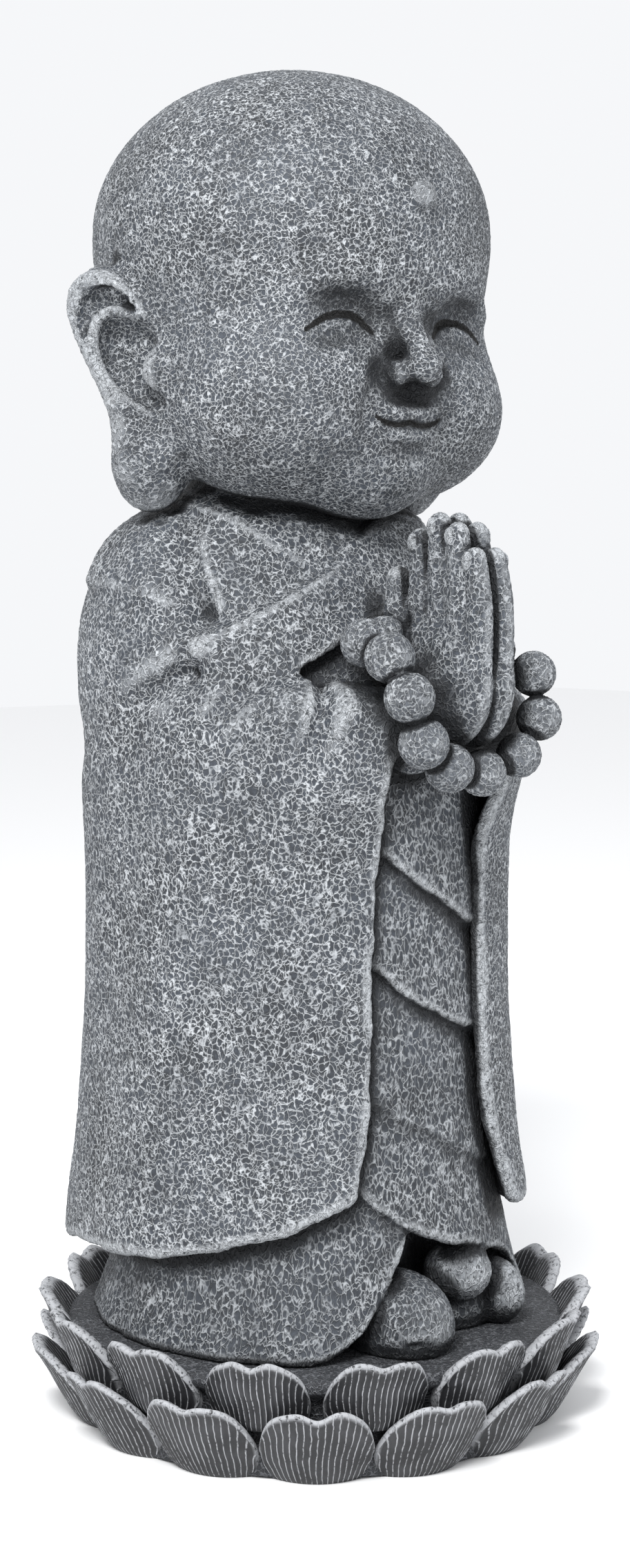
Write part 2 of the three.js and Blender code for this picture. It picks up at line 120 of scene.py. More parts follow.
def shared(a, b, soft=0.0):
    """Where two shapes overlap, with a rounded edge."""
    return -joined(-a, -b, soft)


# ---- clay shapes

def ellipsoid(place, centre, half):
    """How far outside an ellipsoid each place is, roughly."""
    apart = [axis - middle for axis, middle in zip(place, centre)]
    near = np.sqrt(sum((d / h) ** 2 for d, h in zip(apart, half)))
    steep = np.sqrt(sum((d / h ** 2) ** 2 for d, h in zip(apart, half)))
    return near * (near - 1) / np.maximum(steep, 1e-6)


class Shape:
    """A distance function and the box outside which it can be skipped."""

    def __init__(self, far, low, high):
        self.far = far
        self.low = np.array(low, float)
        self.high = np.array(high, float)


def egg(centre, half):
    centre, half = np.array(centre, float), np.array(half, float)
    return Shape(lambda *place: ellipsoid(place, centre, half), centre - half, centre + half)


def limb(stops, radii, flat=1.0, count=14):
    """A round limb along a path; its radii are spread evenly, and flat narrows it sideways."""
    path = spline(stops, count)
    size = np.interp(np.linspace(0, 1, count), np.linspace(0, 1, len(radii)), radii)

    def far(x, y, z):
        nearest = None
        for a, b, ra, rb in zip(path[:-1], path[1:], size[:-1], size[1:]):
            way = b - a
            dx, dy, dz = x - a[0], y - a[1], z - a[2]
            share = np.clip((dx * way[0] + dy * way[1] + dz * way[2]) / (way @ way), 0, 1)
            gap = np.sqrt(((dx - share * way[0]) / flat) ** 2 + (dy - share * way[1]) ** 2
                          + (dz - share * way[2]) ** 2) - lerp(ra, rb, share)
            nearest = gap if nearest is None else np.minimum(nearest, gap)
        return nearest * min(flat, 1.0)

    wide = max(radii)
    return Shape(far, path.min(0) - wide, path.max(0) + wide)


def mirrored(side, stops):
    """The stops as they are for side 1, and flipped in X for side -1."""
    return [(side * x, y, z) for x, y, z in stops]


def outline_far(u, v, loop):
    """How far outside a closed outline each (u, v) is."""
    closest = np.full(np.broadcast(u, v).shape, 1e9)
    within = np.zeros(closest.shape, bool)
    for (ax, ay), (bx, by) in zip(loop, np.roll(loop, -1, axis=0)):
        wx, wy = bx - ax, by - ay
        share = np.clip(((u - ax) * wx + (v - ay) * wy) / (wx * wx + wy * wy + 1e-9), 0, 1)
        closest = np.minimum(closest, (u - ax - share * wx) ** 2 + (v - ay - share * wy) ** 2)
        crosses = (ay > v) != (by > v)
        left = u < ax + (v - ay) * wx / (wy if abs(wy) > 1e-9 else 1e-9)
        within ^= crosses & left
    return np.sqrt(closest) * np.where(within, -1, 1)


def grid_line(low, high, step, fine):
    """Grid places from low to high, closer together inside the fine span."""
    places = [low]
    while places[-1] < high:
        inside = fine and fine[0] <= places[-1] < fine[1]
        places.append(places[-1] + (fine[2] if inside else step))
    return np.array(places, np.float32)


class Clay:
    """A block of clay on a grid that shapes are added to and cut from."""

    def __init__(self, low, high, step, fine=(None, None, None)):
        self.low = np.array(low, float)
        self.step = step
        self.axes = [grid_line(a, b, step, span) for a, b, span in zip(low, high, fine)]
        self.far = np.full([len(axis) for axis in self.axes], 40.0, np.float32)

    def window(self, shape, margin):
        spans = [slice(np.searchsorted(axis, low - margin), np.searchsorted(axis, high + margin))
                 for axis, low, high in zip(self.axes, shape.low, shape.high)]
        x, y, z = (axis[span] for axis, span in zip(self.axes, spans))
        return tuple(spans), (x[:, None, None], y[None, :, None], z[None, None, :])

    def add(self, shape, soft=0.0):
        spans, place = self.window(shape, soft + 3 * self.step)
        self.far[spans] = joined(self.far[spans], shape.far(*place), soft)
        return self

    def cut(self, shape, soft=0.0):
        spans, place = self.window(shape, soft + 3 * self.step)
        self.far[spans] = shared(self.far[spans], -shape.far(*place), soft)
        return self

    def crease(self, stops, wide, deep):
        """Press a soft valley into the robe along a path; a negative depth raises a fold."""
        path = spline(stops, 22)
        turn = np.arctan2(path[:, 0], ROBE_AXIS_Y - path[:, 1]) * 100
        reach = 3 * wide
        guide = Shape(None, path.min(0) - (reach, 60, reach), path.max(0) + (reach, 60, reach))
        spans, (x, y, z) = self.window(guide, 0)
        angle = np.arctan2(x, ROBE_AXIS_Y - y) * 100 + 0 * z
        nearest = np.full(angle.shape, 1e9)
        along = np.zeros(angle.shape)
        for i, (a, b, za, zb) in enumerate(zip(turn[:-1], turn[1:], path[:-1, 2], path[1:, 2])):
            wa, wz = b - a, zb - za
            share = np.clip(((angle - a) * wa + (z - za) * wz) / (wa * wa + wz * wz), 0, 1)
            gap = (angle - a - share * wa) ** 2 + (z - za - share * wz) ** 2
            along = np.where(gap < nearest, (i + share) / (len(path) - 1), along)
            nearest = np.minimum(nearest, gap)
        press = deep * np.exp(-nearest / wide ** 2) * np.sin(np.pi * along) ** 0.6
        self.far[spans] += press.astype(np.float32)
        return self

    def front(self, x, z):
        """Where the foremost clay at (x, z) lies along Y."""
        i = np.abs(self.axes[0] - x).argmin()
        k = np.abs(self.axes[2] - z).argmin()
        column = self.far[i, :, k]
        j = int(np.argmax(column < 0))
        a, b = column[j - 1], column[j]
        return float(lerp(self.axes[1][j - 1], self.axes[1][j], a / (a - b)))

    def sample(self, points):
        """The clay's distance at free points, in millimetres."""
        place = (points - self.low) / self.step
        place = np.clip(place, 0, np.array(self.far.shape) - 1.001)
        base = place.astype(int)
        share = place - base
        total = np.zeros(len(points))
        for corner in np.ndindex(2, 2, 2):
            weight = np.prod(np.where(corner, share, 1 - share), axis=1)
            i, j, k = (base + corner).T
            total += weight * self.far[i, j, k]
        return total

    def skin(self):
        """The clay's surface: one point in each crossed cell, and quads between them."""
        inside = self.far < 0
        nx, ny, nz = (n - 1 for n in self.far.shape)
        corners = [(slice(i, nx + i), slice(j, ny + j), slice(k, nz + k))
                   for i, j, k in np.ndindex(2, 2, 2)]
        filled = sum(inside[c].astype(np.int8) for c in corners)
        cells = np.argwhere((filled > 0) & (filled < 8))
        number = np.full((nx, ny, nz), -1, np.int32)
        number[tuple(cells.T)] = np.arange(len(cells))
        total = np.zeros((len(cells), 3))
        hits = np.zeros(len(cells))
        for axis in range(3):
            others = [a for a in range(3) if a != axis]
            for p, q in np.ndindex(2, 2):
                start = cells.copy()
                start[:, others[0]] += p
                start[:, others[1]] += q
                end = start.copy()
                end[:, axis] += 1
                a, b = self.far[tuple(start.T)], self.far[tuple(end.T)]
                crossed = (a < 0) != (b < 0)
                place = start.astype(float)
                place[:, axis] += a / np.where(crossed, a - b, 1)
                total[crossed] += place[crossed]
                hits[crossed] += 1
        place = total / hits[:, None]
        points = np.stack([np.interp(p, np.arange(len(axis)), axis)
                           for p, axis in zip(place.T, self.axes)], axis=1)
        quads = []
        for axis in range(3):
            others = [a for a in range(3) if a != axis]
            near = [slice(1, n - 1) for n in self.far.shape]
            far = list(near)
            near[axis] = slice(0, self.far.shape[axis] - 1)
            far[axis] = slice(1, self.far.shape[axis])
            a, b = inside[tuple(near)], inside[tuple(far)]
            edge = np.argwhere(a != b)
            leaving = a[tuple(edge.T)]
            edge[:, others] += 1
            ring = []
            for p, q in ((0, 0), (1, 0), (1, 1), (0, 1)):
                cell = edge.copy()
                cell[:, others[0]] -= p
                cell[:, others[1]] -= q
                ring.append(number[tuple(cell.T)])
            ring = np.stack(ring, axis=1)
            turned = leaving if axis != 1 else ~leaving
            quads.append(np.where(turned[:, None], ring, ring[:, ::-1]))
        return points, np.vstack(quads)


# ---- the robes

torso_axis = profile((330, 14), (365, 14), (382, 16), (399, 19), (416, 23), (433, 28), (447, 33),
                     (458, 36), (470, 38))
torso_side = profile((318, 98), (365, 100), (382, 99), (399, 97), (416, 94), (433, 89),
                     (447, 80), (458, 64), (470, 44))
torso_front = profile((330, 90), (345, 88), (365, 82), (382, 77), (399, 71), (416, 66), (433, 61),
                      (447, 58), (458, 48), (470, 38))
torso_back = profile((330, 103), (365, 104), (382, 100), (399, 92), (416, 81), (433, 70),
                     (447, 58), (458, 48), (470, 40))
upper_arm = {
    "x": profile((324, 80), (382, 80), (399, 78), (416, 74), (433, 68), (447, 60), (457, 50)),
    "y": profile((324, 22), (351, 25), (382, 27), (416, 29), (433, 32), (457, 36)),
    "wide": profile((324, 20), (340, 27), (365, 30), (399, 30), (416, 29), (433, 27), (447, 24),
                    (457, 17)),
    "deep": profile((324, 36), (340, 45), (365, 49.5), (399, 48), (416, 45), (433, 40),
                    (447, 33), (457, 23)),
}


def oval(x, y, wide, deep):
    """How far outside an upright oval column each place is, with its half sizes."""
    near = np.sqrt((x / wide) ** 2 + (y / deep) ** 2)
    steep = np.sqrt((x / wide ** 2) ** 2 + (y / deep ** 2) ** 2)
    return near * (near - 1) / np.maximum(steep, 1e-6)


def torso_far(x, y, z):
    deep = np.where(y < torso_axis(z), torso_front(z), torso_back(z))
    return shared(oval(x, y - torso_axis(z), torso_side(z), deep), (z - 471.0) * 0.8, 12)


def upper_arm_far(x, y, z):
    side = np.abs(x)
    body = oval(side - upper_arm["x"](z), y - upper_arm["y"](z),
                upper_arm["wide"](z), upper_arm["deep"](z))
    above = z - profile((-30, 401), (-10, 405), (4, 410), (31, 414), (60, 417))(y)
    mantle = 2.6 * smoothstep(above, -0.8, 1.6) * (1 - smoothstep(above, 8, 40))
    return shared(shared(body - mantle, (z - 458.0) * 0.8, 14), 322.0 - z, 6)


sleeve_hang = profile((84, 118), (110, 116), (140, 112), (180, 109), (220, 107), (260, 107),
                      (300, 108.5), (330, 110))
sleeve_edge = profile((100, 0.47), (120, 0.45), (140, 0.40), (160, 0.36), (200, 0.335),
                      (260, 0.32), (300, 0.30), (335, 0.305), (352, 0.29))
sleeve_hem = profile((0.3, 130), (0.5, 124), (0.66, 115), (0.9, 107), (1.2, 98.5), (1.5, 94),
                     (1.85, 91.5), (2.2, 87), (math.pi, 85))


def sleeve_radius(angle, z):
    cuff = 16 * smoothstep(z, 286, 344) * (1 - smoothstep(angle, 0.3, 0.95))
    flare = 6 * (1 - smoothstep(z, 100, 165)) * (1 - smoothstep(angle, 0.3, 0.9))
    fold = 1.6 * np.sin(angle * 9 + z / 90) * smoothstep(angle, 0.5, 1.1)
    tuck = lerp(7, 13, smoothstep(angle, 1, 1.6)) * smoothstep(z, 318, 364)
    return sleeve_hang(z) + cuff + flare + fold - tuck


def sleeves_far(x, y, z):
    """Both hanging sleeves and the back of the outer robe, one thick sheet of cloth."""
    ahead = ROBE_AXIS_Y - y
    angle = np.arctan2(np.abs(x), ahead)
    radius = np.hypot(x, ahead)
    beyond = radius - sleeve_radius(angle, z)
    thick = lerp(8, 26, smoothstep(angle, 0.5, 1.0))
    wave = 0.5 * np.sin(angle * 23) + 0.3 * np.sin(angle * 41 + 1)
    hem = sleeve_hem(angle) - np.where(x > 0, 13 * (1 - smoothstep(angle, 0.45, 0.9)), 0) + wave
    cloth = shared(beyond, -(beyond + thick), 3)
    cloth = shared(cloth, (hem - z) * 0.95, 3.5)
    edge = (sleeve_edge(z) - angle) * radius + 0.5 * np.sin(z / 7.0) + 0.4 * np.sin(z / 3.1)
    cloth = shared(cloth, edge, 3.5)
    return shared(cloth, z - (ARM_Z + 8), 10)


def band(upper, lower, lift, soft):
    """A collar over the chest between two edges drawn in (x, z)."""
    loop = np.vstack([spline(upper, 16), spline(lower, 16)[::-1]])

    def far(x, y, z):
        proud = torso_far(x, y, z)
        inside = outline_far(x + 0 * z, z + 0 * x, loop)
        cloth = shared(shared(proud - lift, -(proud + 8), soft), inside, soft)
        return shared(cloth, y - torso_axis(z) + 8, 2)

    low = [loop[:, 0].min(), -90, loop[:, 1].min()]
    high = [loop[:, 0].max(), 40, loop[:, 1].max()]
    return Shape(far, low, high)


def forearm(side):
    stops = [(84, 6, ARM_Z - 1), (76, -22, ARM_Z), (64.5, -46, ARM_Z), (50, -68, ARM_Z),
             (33, -86, ARM_Z + 1)]
    radii = [22, 25, 23, 24, 21.5, 22.5, 20, 20.5, 18]
    return limb(mirrored(side, stops), radii, count=17)


CHEST_CREASE = [(78, 12, 454), (84, 3, 437), (88, -12, 414), (87, -24, 394), (82, -38, 376)]
SLEEVE_FOLDS = [
    ([(84, -32, 380), (91, -22, 376), (99, -12, 371), (105, -2, 364), (109, 15, 354)], 5.5, 7.0),
    ([(84, -30, 394), (97, -14, 386), (105, 0, 376), (109, 16, 366)], 9.0, -2.4),
    ([(70, -52, 376), (77, -50, 371), (85, -48, 365), (92, -44, 357), (97, -38, 346)], 5.0, 5.5),
    ([(54, -69, 376), (58, -78, 366), (64, -83, 354), (68, -82, 342), (70, -79, 324)], 2.8, 5.0),
    ([(46, -76, 374), (50, -85, 364), (57, -89, 350), (61, -88, 330)], 4.5, -1.8),
    ([(78, -60, 330), (84, -54, 290), (88, -48, 240), (90, -46, 190)], 9.0, 1.6),
    ([(106, -20, 320), (108, -14, 270), (108, -10, 220)], 9.0, 1.3),
]


COLLARS = [
    ([(-30, 474), (-11, 459), (0, 447), (16, 432)],
     [(-74, 462), (-52, 437), (-31, 421), (0, 398)], 4.2, 1.4),
    ([(-34, 476), (-22, 468), (-9, 453), (4, 436)],
     [(-52, 462), (-36, 447), (-20, 432), (0, 412)], 6.4, 1.2),
    ([(36, 466), (22, 453), (0, 442), (-30, 422), (-62, 406), (-92, 390)],
     [(66, 452), (40, 424), (0, 403), (-32, 389), (-62, 373), (-92, 352)], 8.4, 2.0),
]
WAIST_Z = 316


def robe_clay(step):
    clay = Clay((-128, -138, 78), (128, 132, 476), step)
    clay.add(Shape(torso_far, (-104, -92, WAIST_Z), (104, 124, 473)))
    for side in SIDES:
        low, high = sorted((side * 24, side * 122))
        clay.add(Shape(upper_arm_far, (low, -46, 320), (high, 96, 460)), 5)
    clay.cut(Shape(lambda x, y, z: WAIST_Z - z + 0 * x * y, (-110, -110, 300), (110, 130, 318)))
    clay.add(egg((0, 24, 462), (54, 50, 30)), 6)
    for side in SIDES:
        clay.crease(mirrored(side, CHEST_CREASE), 7.0, 9.0)
    for collar in COLLARS:
        clay.add(band(*collar))
    for side in SIDES:
        clay.add(forearm(side), 5)
        clay.add(egg((side * 70, -40, 358), (14, 16, 14)), 8)
    clay.add(Shape(sleeves_far, (-124, -132, 80), (124, 130, ARM_Z + 14)), 12)
    for side in SIDES:
        for stops, wide, deep in SLEEVE_FOLDS:
            clay.crease(mirrored(side, stops), wide, deep)
    return clay


# ---- the gown, layers and shoes

gown = profile((50, 110.5), (62, 106), (76, 101), (100, 95.5), (130, 90), (180, 88), (345, 88))
gown_lift = profile((-0.66, 0), (-0.58, 3), (-0.45, 12), (-0.35, 23), (-0.28, 32), (-0.21, 43),
                    (-0.1, 60), (0.3, 60), (0.62, 42), (0.83, 22), (0.95, 0))
LAYER_HEMS = [
    profile((-46, 300), (-24.5, 287), (3.3, 268), (37, 249), (50, 243)),
    profile((-46, 246), (-27.5, 232), (-13, 221), (3.6, 211.5), (19, 205), (38, 199), (50, 196)),
    profile((-46, 181), (-28.7, 168), (-5, 156), (14, 146), (31, 137), (56, 130)),
    profile((-46, 134), (-36, 125), (-13, 108), (4, 101), (25, 95), (48, 88), (74, 73), (80, 64),
            (84, 56)),
]
LAYER_SIDE = 46.0
TAIL_SIDE = 84.0


def skirt_place(x, y):
    ahead = SKIRT_AXIS_Y - y
    return np.arctan2(x, ahead), np.hypot(x, ahead)


def gown_far(x, y, z):
    angle, radius = skirt_place(x, y)
    ripple = 0.7 * np.sin(angle * 17 + z / 30) * (1 - smoothstep(z, 60, 110))
    foot = SOLE_Z + gown_lift(angle)
    shell = radius - gown(z) - ripple
    front = smoothstep(np.cos(angle), 0.35, 0.8) * (1 - smoothstep(z, 96, 112))
    core = radius - gown(z) * (1 - 0.33 * front) + 1.5
    flap = shared(shared(shell, -(shell + 15), 3), foot - z, 2.5)
    body = joined(core, flap, 1.5)
    return shared(shared(body, z - 338.0, 2), SOLE_Z - z, 1.2)


def layer_far(index):
    hem = LAYER_HEMS[index]
    above = LAYER_HEMS[index - 1] if index else (lambda x: 336.0 + 0 * x)
    last = index == len(LAYER_HEMS) - 1

    def far(x, y, z):
        angle, radius = skirt_place(x, y)
        low, high = hem(x), above(x) + 12
        stand = 7.0 * np.clip((high - z) / (high - low), 0, 1.05) ** 0.8
        wide = gown(np.maximum(z, 130)) - 1.5 + stand
        if last:
            wide = np.maximum(wide, gown(z) + 3.5)
        cloth = shared(radius - wide, -(radius - wide + 13), 2)
        wave = 0.5 * np.sin(x / 5.0 + index) + 0.3 * np.sin(x / 2.3)
        cloth = shared(cloth, (low + wave - z) * 0.9, 2.6)
        cloth = shared(cloth, z - high, 2)
        side = np.maximum(-LAYER_SIDE - x, x - (TAIL_SIDE if last else LAYER_SIDE))
        return shared(shared(cloth, side, 1), y + 0 * x, 1)

    bottom = 50 if last else float(hem(50.0)) - 4
    return Shape(far, (-48, -108, bottom), (88, 10, min(float(above(-LAYER_SIDE)) + 16, 342)))


SHOES = (((-12, -76, 62), (25, 34, 25)), ((34, -58, 60), (30, 26, 22)),
         ((27, -78, 80), (17, 17, 15)), ((53, -76, 65), (13, 19, 17)))
TOE_LINE = [(-30, -98, 60), (-12, -112, 57), (10, -104, 60)]


def skirts_clay(step):
    clay = Clay((-118, -118, 47), (118, 122, 344), step)
    clay.add(Shape(gown_far, (-114, -112, 49), (114, 118, 340)))
    for index in reversed(range(len(LAYER_HEMS))):
        clay.add(layer_far(index), 0.6)
    for centre, half in SHOES:
        clay.add(egg(centre, half), 2)
    clay.cut(limb(TOE_LINE, [0.2, 1.2, 0.2]), 2)
    clay.cut(Shape(lambda x, y, z: z - SOLE_Z + 0 * x * y, (-120, -120, 40), (120, 124, 54)), 0.6)
    return clay


# ---- the hands and beads

BEAD_STOPS = [(-22, -79, 391), (-41, -88, 390), (-44.5, -109, 384), (-42, -120, 366),
              (-35, -122, 345), (-17, -119.5, 333), (5, -118, 329.5), (27, -119.5, 337),
              (40.5, -119, 354), (40.5, -115, 375), (30, -98, 386), (15, -83, 391), (-4, -78, 392)]


HAND_BLOCK = ((-62, -138, 312), (60, -58, 456))
NAIL_TIPS = ((-86.5, 437), (-100, 444), (-112.5, 439.5), (-124.5, 428))


def hand_shapes(side):
    """The palm, the four fingers and the thumb of one hand, each with its softness."""
    def at(*stops):
        return mirrored(side, stops)

    fingers = [
        (at((7, -88, 380), (6.8, -88.5, 412), (6, -86.5, 438)), [7.2, 7.0, 5.8]),
        (at((7, -101.5, 380), (6.8, -102, 415), (6, -100, 445)), [7.4, 7.2, 6.0]),
        (at((7, -115, 380), (6.8, -115.5, 414), (6, -112.5, 440.5)), [7.2, 7.0, 5.8]),
        (at((6.8, -128, 382), (6.6, -128, 408), (6, -124.5, 429)), [6.8, 6.6, 5.5]),
    ]
    palm = [
        (egg(at((7, -105, 371))[0], (12.5, 30, 31)), 6),
        (egg(at((9, -92, 372))[0], (11, 16, 28)), 8),
        (limb(at((13, -88, 344), (9, -100, 366)), [16, 17]), 8),
    ]
    thumb = (limb(at((10, -86, 368), (11, -77, 394), (8, -73, 420)), [8.5, 7.0, 6.0]), 3)
    return palm + [(limb(path, radii, flat=0.86), 1.6) for path, radii in fingers] + [thumb]


def hands_clay(step):
    clay = Clay(*HAND_BLOCK, step)
    for side in SIDES:
        half = Clay(*HAND_BLOCK, step)
        for shape, soft in hand_shapes(side):
            half.add(shape, soft)
        for tip_y, tip_z in NAIL_TIPS:
            half.add(egg((side * 11.4, tip_y, tip_z), (1.7, 3.3, 4.6)), 0.4)
        clay.far = joined(clay.far, half.far, 0.5)
    for place in BEAD_STOPS:
        radius = lerp(11.7, 10.8, smoothstep(place[0], -30, 30))
        clay.add(egg(place, (radius, radius, radius)), 0.8)
    return clay


# ---- the head and ears

def head_far(x, y, z):
    place, near = (x, y, z), (np.abs(x), y, z)
    middle = (0, HEAD["y"], HEAD["z"])
    up, down = (ellipsoid(place, middle, (HEAD["radius"], HEAD["radius"], HEAD[end]))
                for end in ("crown", "jaw"))
    d = np.where(z > HEAD["z"], up, down)
    d = joined(d, ellipsoid(near, (38, -14, 503), (52, 59, 45)), 26)
    d = joined(d, ellipsoid(place, (0, -30, 490), (42, 37, 34)), 20)
    d = joined(d, ellipsoid(place, (0, -39, 473), (27, 29, 23)), 14)
    d = shared(d, -ellipsoid(near, (37, -84, 543), (25, 22, 12)), 16)
    return joined(d, ellipsoid(near, (37, -46, 539), (20, 16, 11)), 8)


def traced(clay, side, stops, sink=0.0):
    """A path laid on the front of the clay through (x, z) stops, mirrored by side."""
    return [(side * x, clay.front(side * x, z) + sink, z) for x, z in stops]


def on_ear(side, back, z, out):
    sin, cos = math.sin(EAR_FLARE), math.cos(EAR_FLARE)
    return (side * (EAR_ROOT[0] + back * cos + out * sin), EAR_ROOT[1] + back * sin - out * cos, z)


EAR_OUTLINE = [(-16, 534), (-4, 545), (3, 554), (10, 563), (19, 569), (30, 571), (40, 568),
               (46, 555), (46, 546), (42, 536), (37, 524), (29, 511), (24, 500), (21, 489),
               (19, 478), (8, 470), (-12, 480), (-20, 500), (-20, 520)]


def ear_plate(side):
    """The flat of the ear inside its outline, thick enough to hold the bowl."""
    sin, cos = math.sin(EAR_FLARE), math.cos(EAR_FLARE)
    loop = spline(EAR_OUTLINE + EAR_OUTLINE[:1], 44)[:-1]

    def far(x, y, z):
        dx, dy = side * x - EAR_ROOT[0], y - EAR_ROOT[1]
        back, out = dx * cos + dy * sin, dx * sin - dy * cos
        edge = outline_far(back + 0 * z, z + 0 * back, loop) + 1.0
        return shared(shared(edge, out + 1.5, 6), -(out + 15 + 8 * smoothstep(-back, -20, 0)), 6)

    low, high = sorted((side * 66, side * 130))
    return Shape(far, (low, -12, 464), (high, 60, 576))


EAR_RIM = [(2, 528, -1), (4, 541, 0), (10, 551, 1), (19, 559, 1.5), (29, 561.5, 1.5),
           (37, 559, 1), (40, 552, 0.5), (39.5, 545, 0), (36, 536, 0), (30, 524, 0),
           (23.5, 512, -1), (18, 500, -2), (15, 488, -3), (13, 476, -4)]
EAR_CREST = [(1, 535, -2), (4, 541, -0.5), (12, 545.5, 1), (21, 547.5, 1.5), (28.5, 544, 1.5),
             (31.5, 537, 1.5), (31, 528, 1.5), (27.5, 519, 1.5), (21, 510, 1), (12, 502.5, 0.5),
             (2, 497, -1), (-8, 492, -4)]
EAR_GROOVE = [(9, 546.5, 3), (16, 553, 3), (24, 555.5, 3), (31.5, 552.5, 3), (35.5, 544, 3),
              (35, 533, 3.5)]


def carve_ear(clay, side):
    def along(stops, radii, count=22):
        return limb([on_ear(side, *stop) for stop in stops], radii, count=count)

    clay.add(ear_plate(side), 4)
    clay.add(egg(on_ear(side, -2, 520, -16), (16, 20, 36)), 10)
    clay.add(along(EAR_RIM, [4.4, 5.2, 5.8, 5.8, 5.6, 5.4, 5.6, 6.4, 8.0, 9.5], 30), 3)
    clay.add(egg((side * 82, 25, 474), (18, 18.5, 22)), 9)
    clay.cut(along(EAR_GROOVE, [1.5, 3.6, 4.4, 4.4, 3.6, 1.2]), 2)
    clay.cut(along([(20, 533, 2), (19, 524, 2), (10, 512, 2), (-1, 503, 1)], [11, 11, 9, 5]), 2)
    clay.cut(along([(8, 535, 2), (7, 524, 2)], [9, 9]), 2)
    clay.add(along(EAR_CREST, [1.5, 2.6, 3.0, 3.0, 3.0, 3.0, 2.8, 2.4, 1.4]), 2)
    clay.add(egg(on_ear(side, -1, 519, 0), (7.5, 7, 9.5)), 5)


LID_LINE = [(54, 535.2), (49, 538.6), (43, 541.8), (33, 543.5), (25, 541.2), (19, 535)]
MOUTH_LINE = [(-20, 496), (-14, 493.4), (-6, 492.6), (0, 493.8), (6, 492.6), (14, 493.4),
              (20, 496)]
BROW_LINE = [(15, 553), (21, 559), (32, 562.5), (46, 560), (59, 549)]
CHEEK_LINE = [(19, 516), (24, 506), (26, 495), (23, 486)]
CHIN_LINE = [(-11, 479), (0, 478), (11, 479)]


def face_lines(clay):
    """The closed eyes and the line of the mouth, as thin limbs lying in the skin."""
    lids = [limb(traced(clay, side, LID_LINE, 0.3), [0.4, 0.8, 1.1, 1.25, 1.2, 0.5], count=24)
            for side in SIDES]
    mouth = limb(traced(clay, 1, MOUTH_LINE, 0.4), [0.4, 0.7, 0.75, 0.7, 0.75, 0.7, 0.4], count=26)
    return lids + [mouth]


def head_clay(step):
    """The head, finest over the face, and the thin lines carved in it."""
    fine = step * 0.6
    clay = Clay((-132, -100, 444), (132, 126, 676), step * 1.22,
                ((-58, 58, fine), (-94, -50, fine * 1.2), (470, 562, fine)))
    clay.add(Shape(head_far, (-104, -96, 446), (104, 122, 674)))
    for side in SIDES:
        carve_ear(clay, side)
        clay.add(limb(traced(clay, side, BROW_LINE, 2.6), [2.5, 3.6, 4, 3.4, 1.6]), 11)
    clay.add(limb([(0, -60, 562), (0, -69, 543), (0, -81, 521.5)], [5, 5.4, 6.6]), 7)
    clay.add(egg((0, -81, 519.5), (8.6, 9.2, 7.6)), 5)
    for side in SIDES:
        clay.add(egg((side * 10.5, -73, 516.5), (7.6, 8.2, 6)), 4)
        clay.cut(egg((side * 5.6, -80, 511), (3.2, 4.2, 2.6)), 2)
        clay.cut(limb(traced(clay, side, CHEEK_LINE, -3.2), [1.5, 2.6, 2.6, 1.0]), 10)
    clay.add(egg((0, -63, 498.4), (18.5, 9.6, 5.8)), 4)
    for side in SIDES:
        clay.add(egg((side * 6, -65.6, 498.4), (9, 7.8, 4.2)), 4)
    clay.add(egg((0, -64.5, 487.4), (13.5, 9.2, 5.4)), 4)
    clay.cut(limb([(0, -78, 509), (0, -77, 502)], [2.4, 2.6]), 4)
    clay.cut(limb(traced(clay, 1, CHIN_LINE, -2.6), [1, 2.4, 1]), 8)
    clay.add(egg((0, -79, 599), (8.4, 6.4, 8.4)), 0.8)
    lines = face_lines(clay)
    for line in lines:
        clay.cut(line, 0.5)
    return clay, lines


# ---- meshes

def normals_of(points, quads):
    """A smooth unit normal at each point."""
    a, b, c, d = (points[quads[:, i]] for i in range(4))
    face = np.cross(c - a, d - b)
    total = np.zeros_like(points)
    for i in range(4):
        for axis in range(3):
            total[:, axis] += np.bincount(quads[:, i], face[:, axis], len(points))
    return total / np.maximum(np.linalg.norm(total, axis=1), 1e-9)[:, None]


def relaxed(values, quads, rounds):
    """Values at the points, averaged with their neighbours some times."""
    ends = np.vstack([quads[:, [i, (i + 1) % 4]] for i in range(4)])
    count = np.bincount(ends[:, 0], minlength=len(values))
    columns = values.reshape(len(values), -1)
    for _ in range(rounds):
        mean = np.stack([np.bincount(ends[:, 0], c[ends[:, 1]], len(values)) / count
                         for c in columns.T], axis=1)
        columns = 0.4 * columns + 0.6 * mean
    return columns.reshape(values.shape)


def mesh_object(name, points, faces, marks=None):
    """A new smooth mesh object from points in millimetres, with marks stored on them."""
    mesh = bpy.data.meshes.new(name)
    mesh.from_pydata((points * MM).tolist(), [], faces)
    for mark, values in (marks or {}).items():
        layer = mesh.attributes.new(mark, "FLOAT", "POINT")
        layer.data.foreach_set("value", np.ascontiguousarray(values, np.float32))
    mesh.shade_smooth()
    piece = bpy.data.objects.new(name, mesh)
    bpy.context.scene.collection.objects.link(piece)
    return piece


HOLLOW_REACHES = ((4.0, 0.4), (9.0, 0.35), (18.0, 0.25))
COARSE_STEP = 3.0


